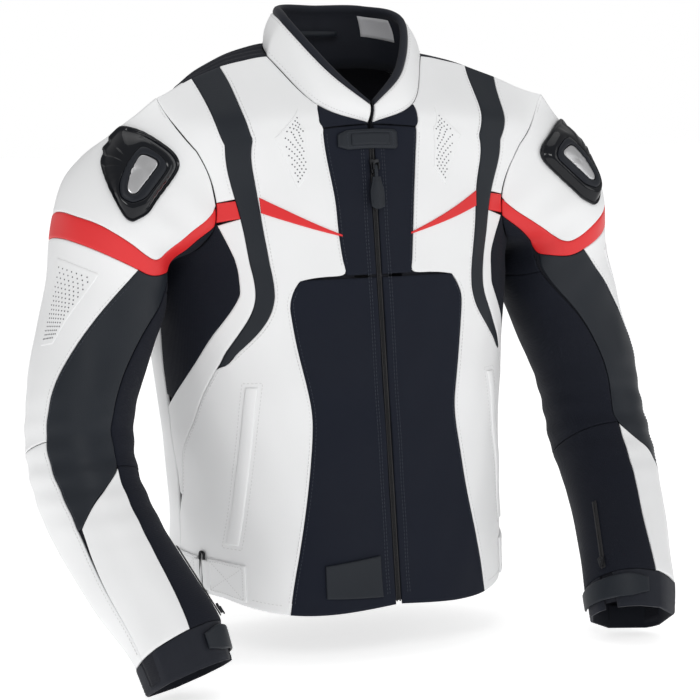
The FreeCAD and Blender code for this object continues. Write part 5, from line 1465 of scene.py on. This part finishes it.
# ---- studio
def build_studio():
    size, z = 12.0, CAD_BOX[0].z - 0.002
    floor = bpy.data.meshes.new("floor")
    floor.from_pydata([(-size, -size, z), (size, -size, z), (size, size, z), (-size, size, z)], [], [(0, 1, 2, 3)])
    sweep = bpy.data.objects.new("floor", floor)
    bpy.context.scene.collection.objects.link(sweep)
    pale = bpy.data.materials.new("pale_floor")
    pale.use_nodes = True
    shader = pale.node_tree.nodes["Principled BSDF"]
    shader.inputs["Base Color"].default_value = (0.9, 0.9, 0.9, 1)
    shader.inputs["Roughness"].default_value = 0.9
    shader.inputs["Emission Color"].default_value = (1, 1, 1, 1)
    shader.inputs["Emission Strength"].default_value = FLOOR_GLOW
    floor.materials.append(pale)
    world = bpy.data.worlds.new("studio")
    bpy.context.scene.world = world
    world.use_nodes = True
    nodes, links = world.node_tree.nodes, world.node_tree.links
    light, backdrop = nodes["Background"], nodes.new("ShaderNodeBackground")
    light.inputs["Color"].default_value = backdrop.inputs["Color"].default_value = (1, 1, 1, 1)
    light.inputs["Strength"].default_value, backdrop.inputs["Strength"].default_value = WORLD_LIGHT, 1.0
    seen, choose = nodes.new("ShaderNodeLightPath"), nodes.new("ShaderNodeMixShader")
    links.new(seen.outputs["Is Camera Ray"], choose.inputs["Fac"])
    links.new(light.outputs["Background"], choose.inputs[1])
    links.new(backdrop.outputs["Background"], choose.inputs[2])
    links.new(choose.outputs["Shader"], nodes["World Output"].inputs["Surface"])
    for name, spot, power, width in LAMPS:
        data = bpy.data.lights.new(name, "AREA")
        data.energy, data.size = power, width
        lamp = bpy.data.objects.new(name, data)
        lamp.location = spot
        aim = AIM - np.array(spot)
        lamp.rotation_mode = "QUATERNION"
        lamp.rotation_quaternion = Vector(aim).to_track_quat("-Z", "Y")
        bpy.context.scene.collection.objects.link(lamp)


AIM = to_row(V(0, 0, 275))
AZIMUTH, ELEVATION, DISTANCE, LENS = -29.0, 7.0, 2.8, 125.2
FLOOR_GLOW, WORLD_LIGHT = 0.68, 0.47
LAMPS = [("key", (-1.6, -2.4, 1.4), 17, 0.9), ("fill", (1.9, -2.2, 0.8), 8, 1.2), ("top", (0.1, 0.2, 2.2), 9, 1.8)]


def build_camera():
    a, e = math.radians(AZIMUTH), math.radians(ELEVATION)
    behind = np.array([math.sin(a) * math.cos(e), -math.cos(a) * math.cos(e), math.sin(e)])
    data = bpy.data.cameras.new("camera")
    data.lens, data.sensor_width = LENS, 36.0
    data.clip_start, data.clip_end = 0.05, 100
    camera = bpy.data.objects.new("camera", data)
    camera.location = AIM + behind * DISTANCE
    camera.rotation_mode = "QUATERNION"
    camera.rotation_quaternion = Vector(-behind).to_track_quat("-Z", "Y")
    bpy.context.scene.collection.objects.link(camera)
    bpy.context.scene.camera = camera


build_front()
build_back()
build_collar()
build_inside()
build_body_stitches()
build_vents()
build_zip()
build_fittings()
build_sleeves()
build_studio()
build_camera()
bpy.context.scene.view_settings.view_transform = "Standard"
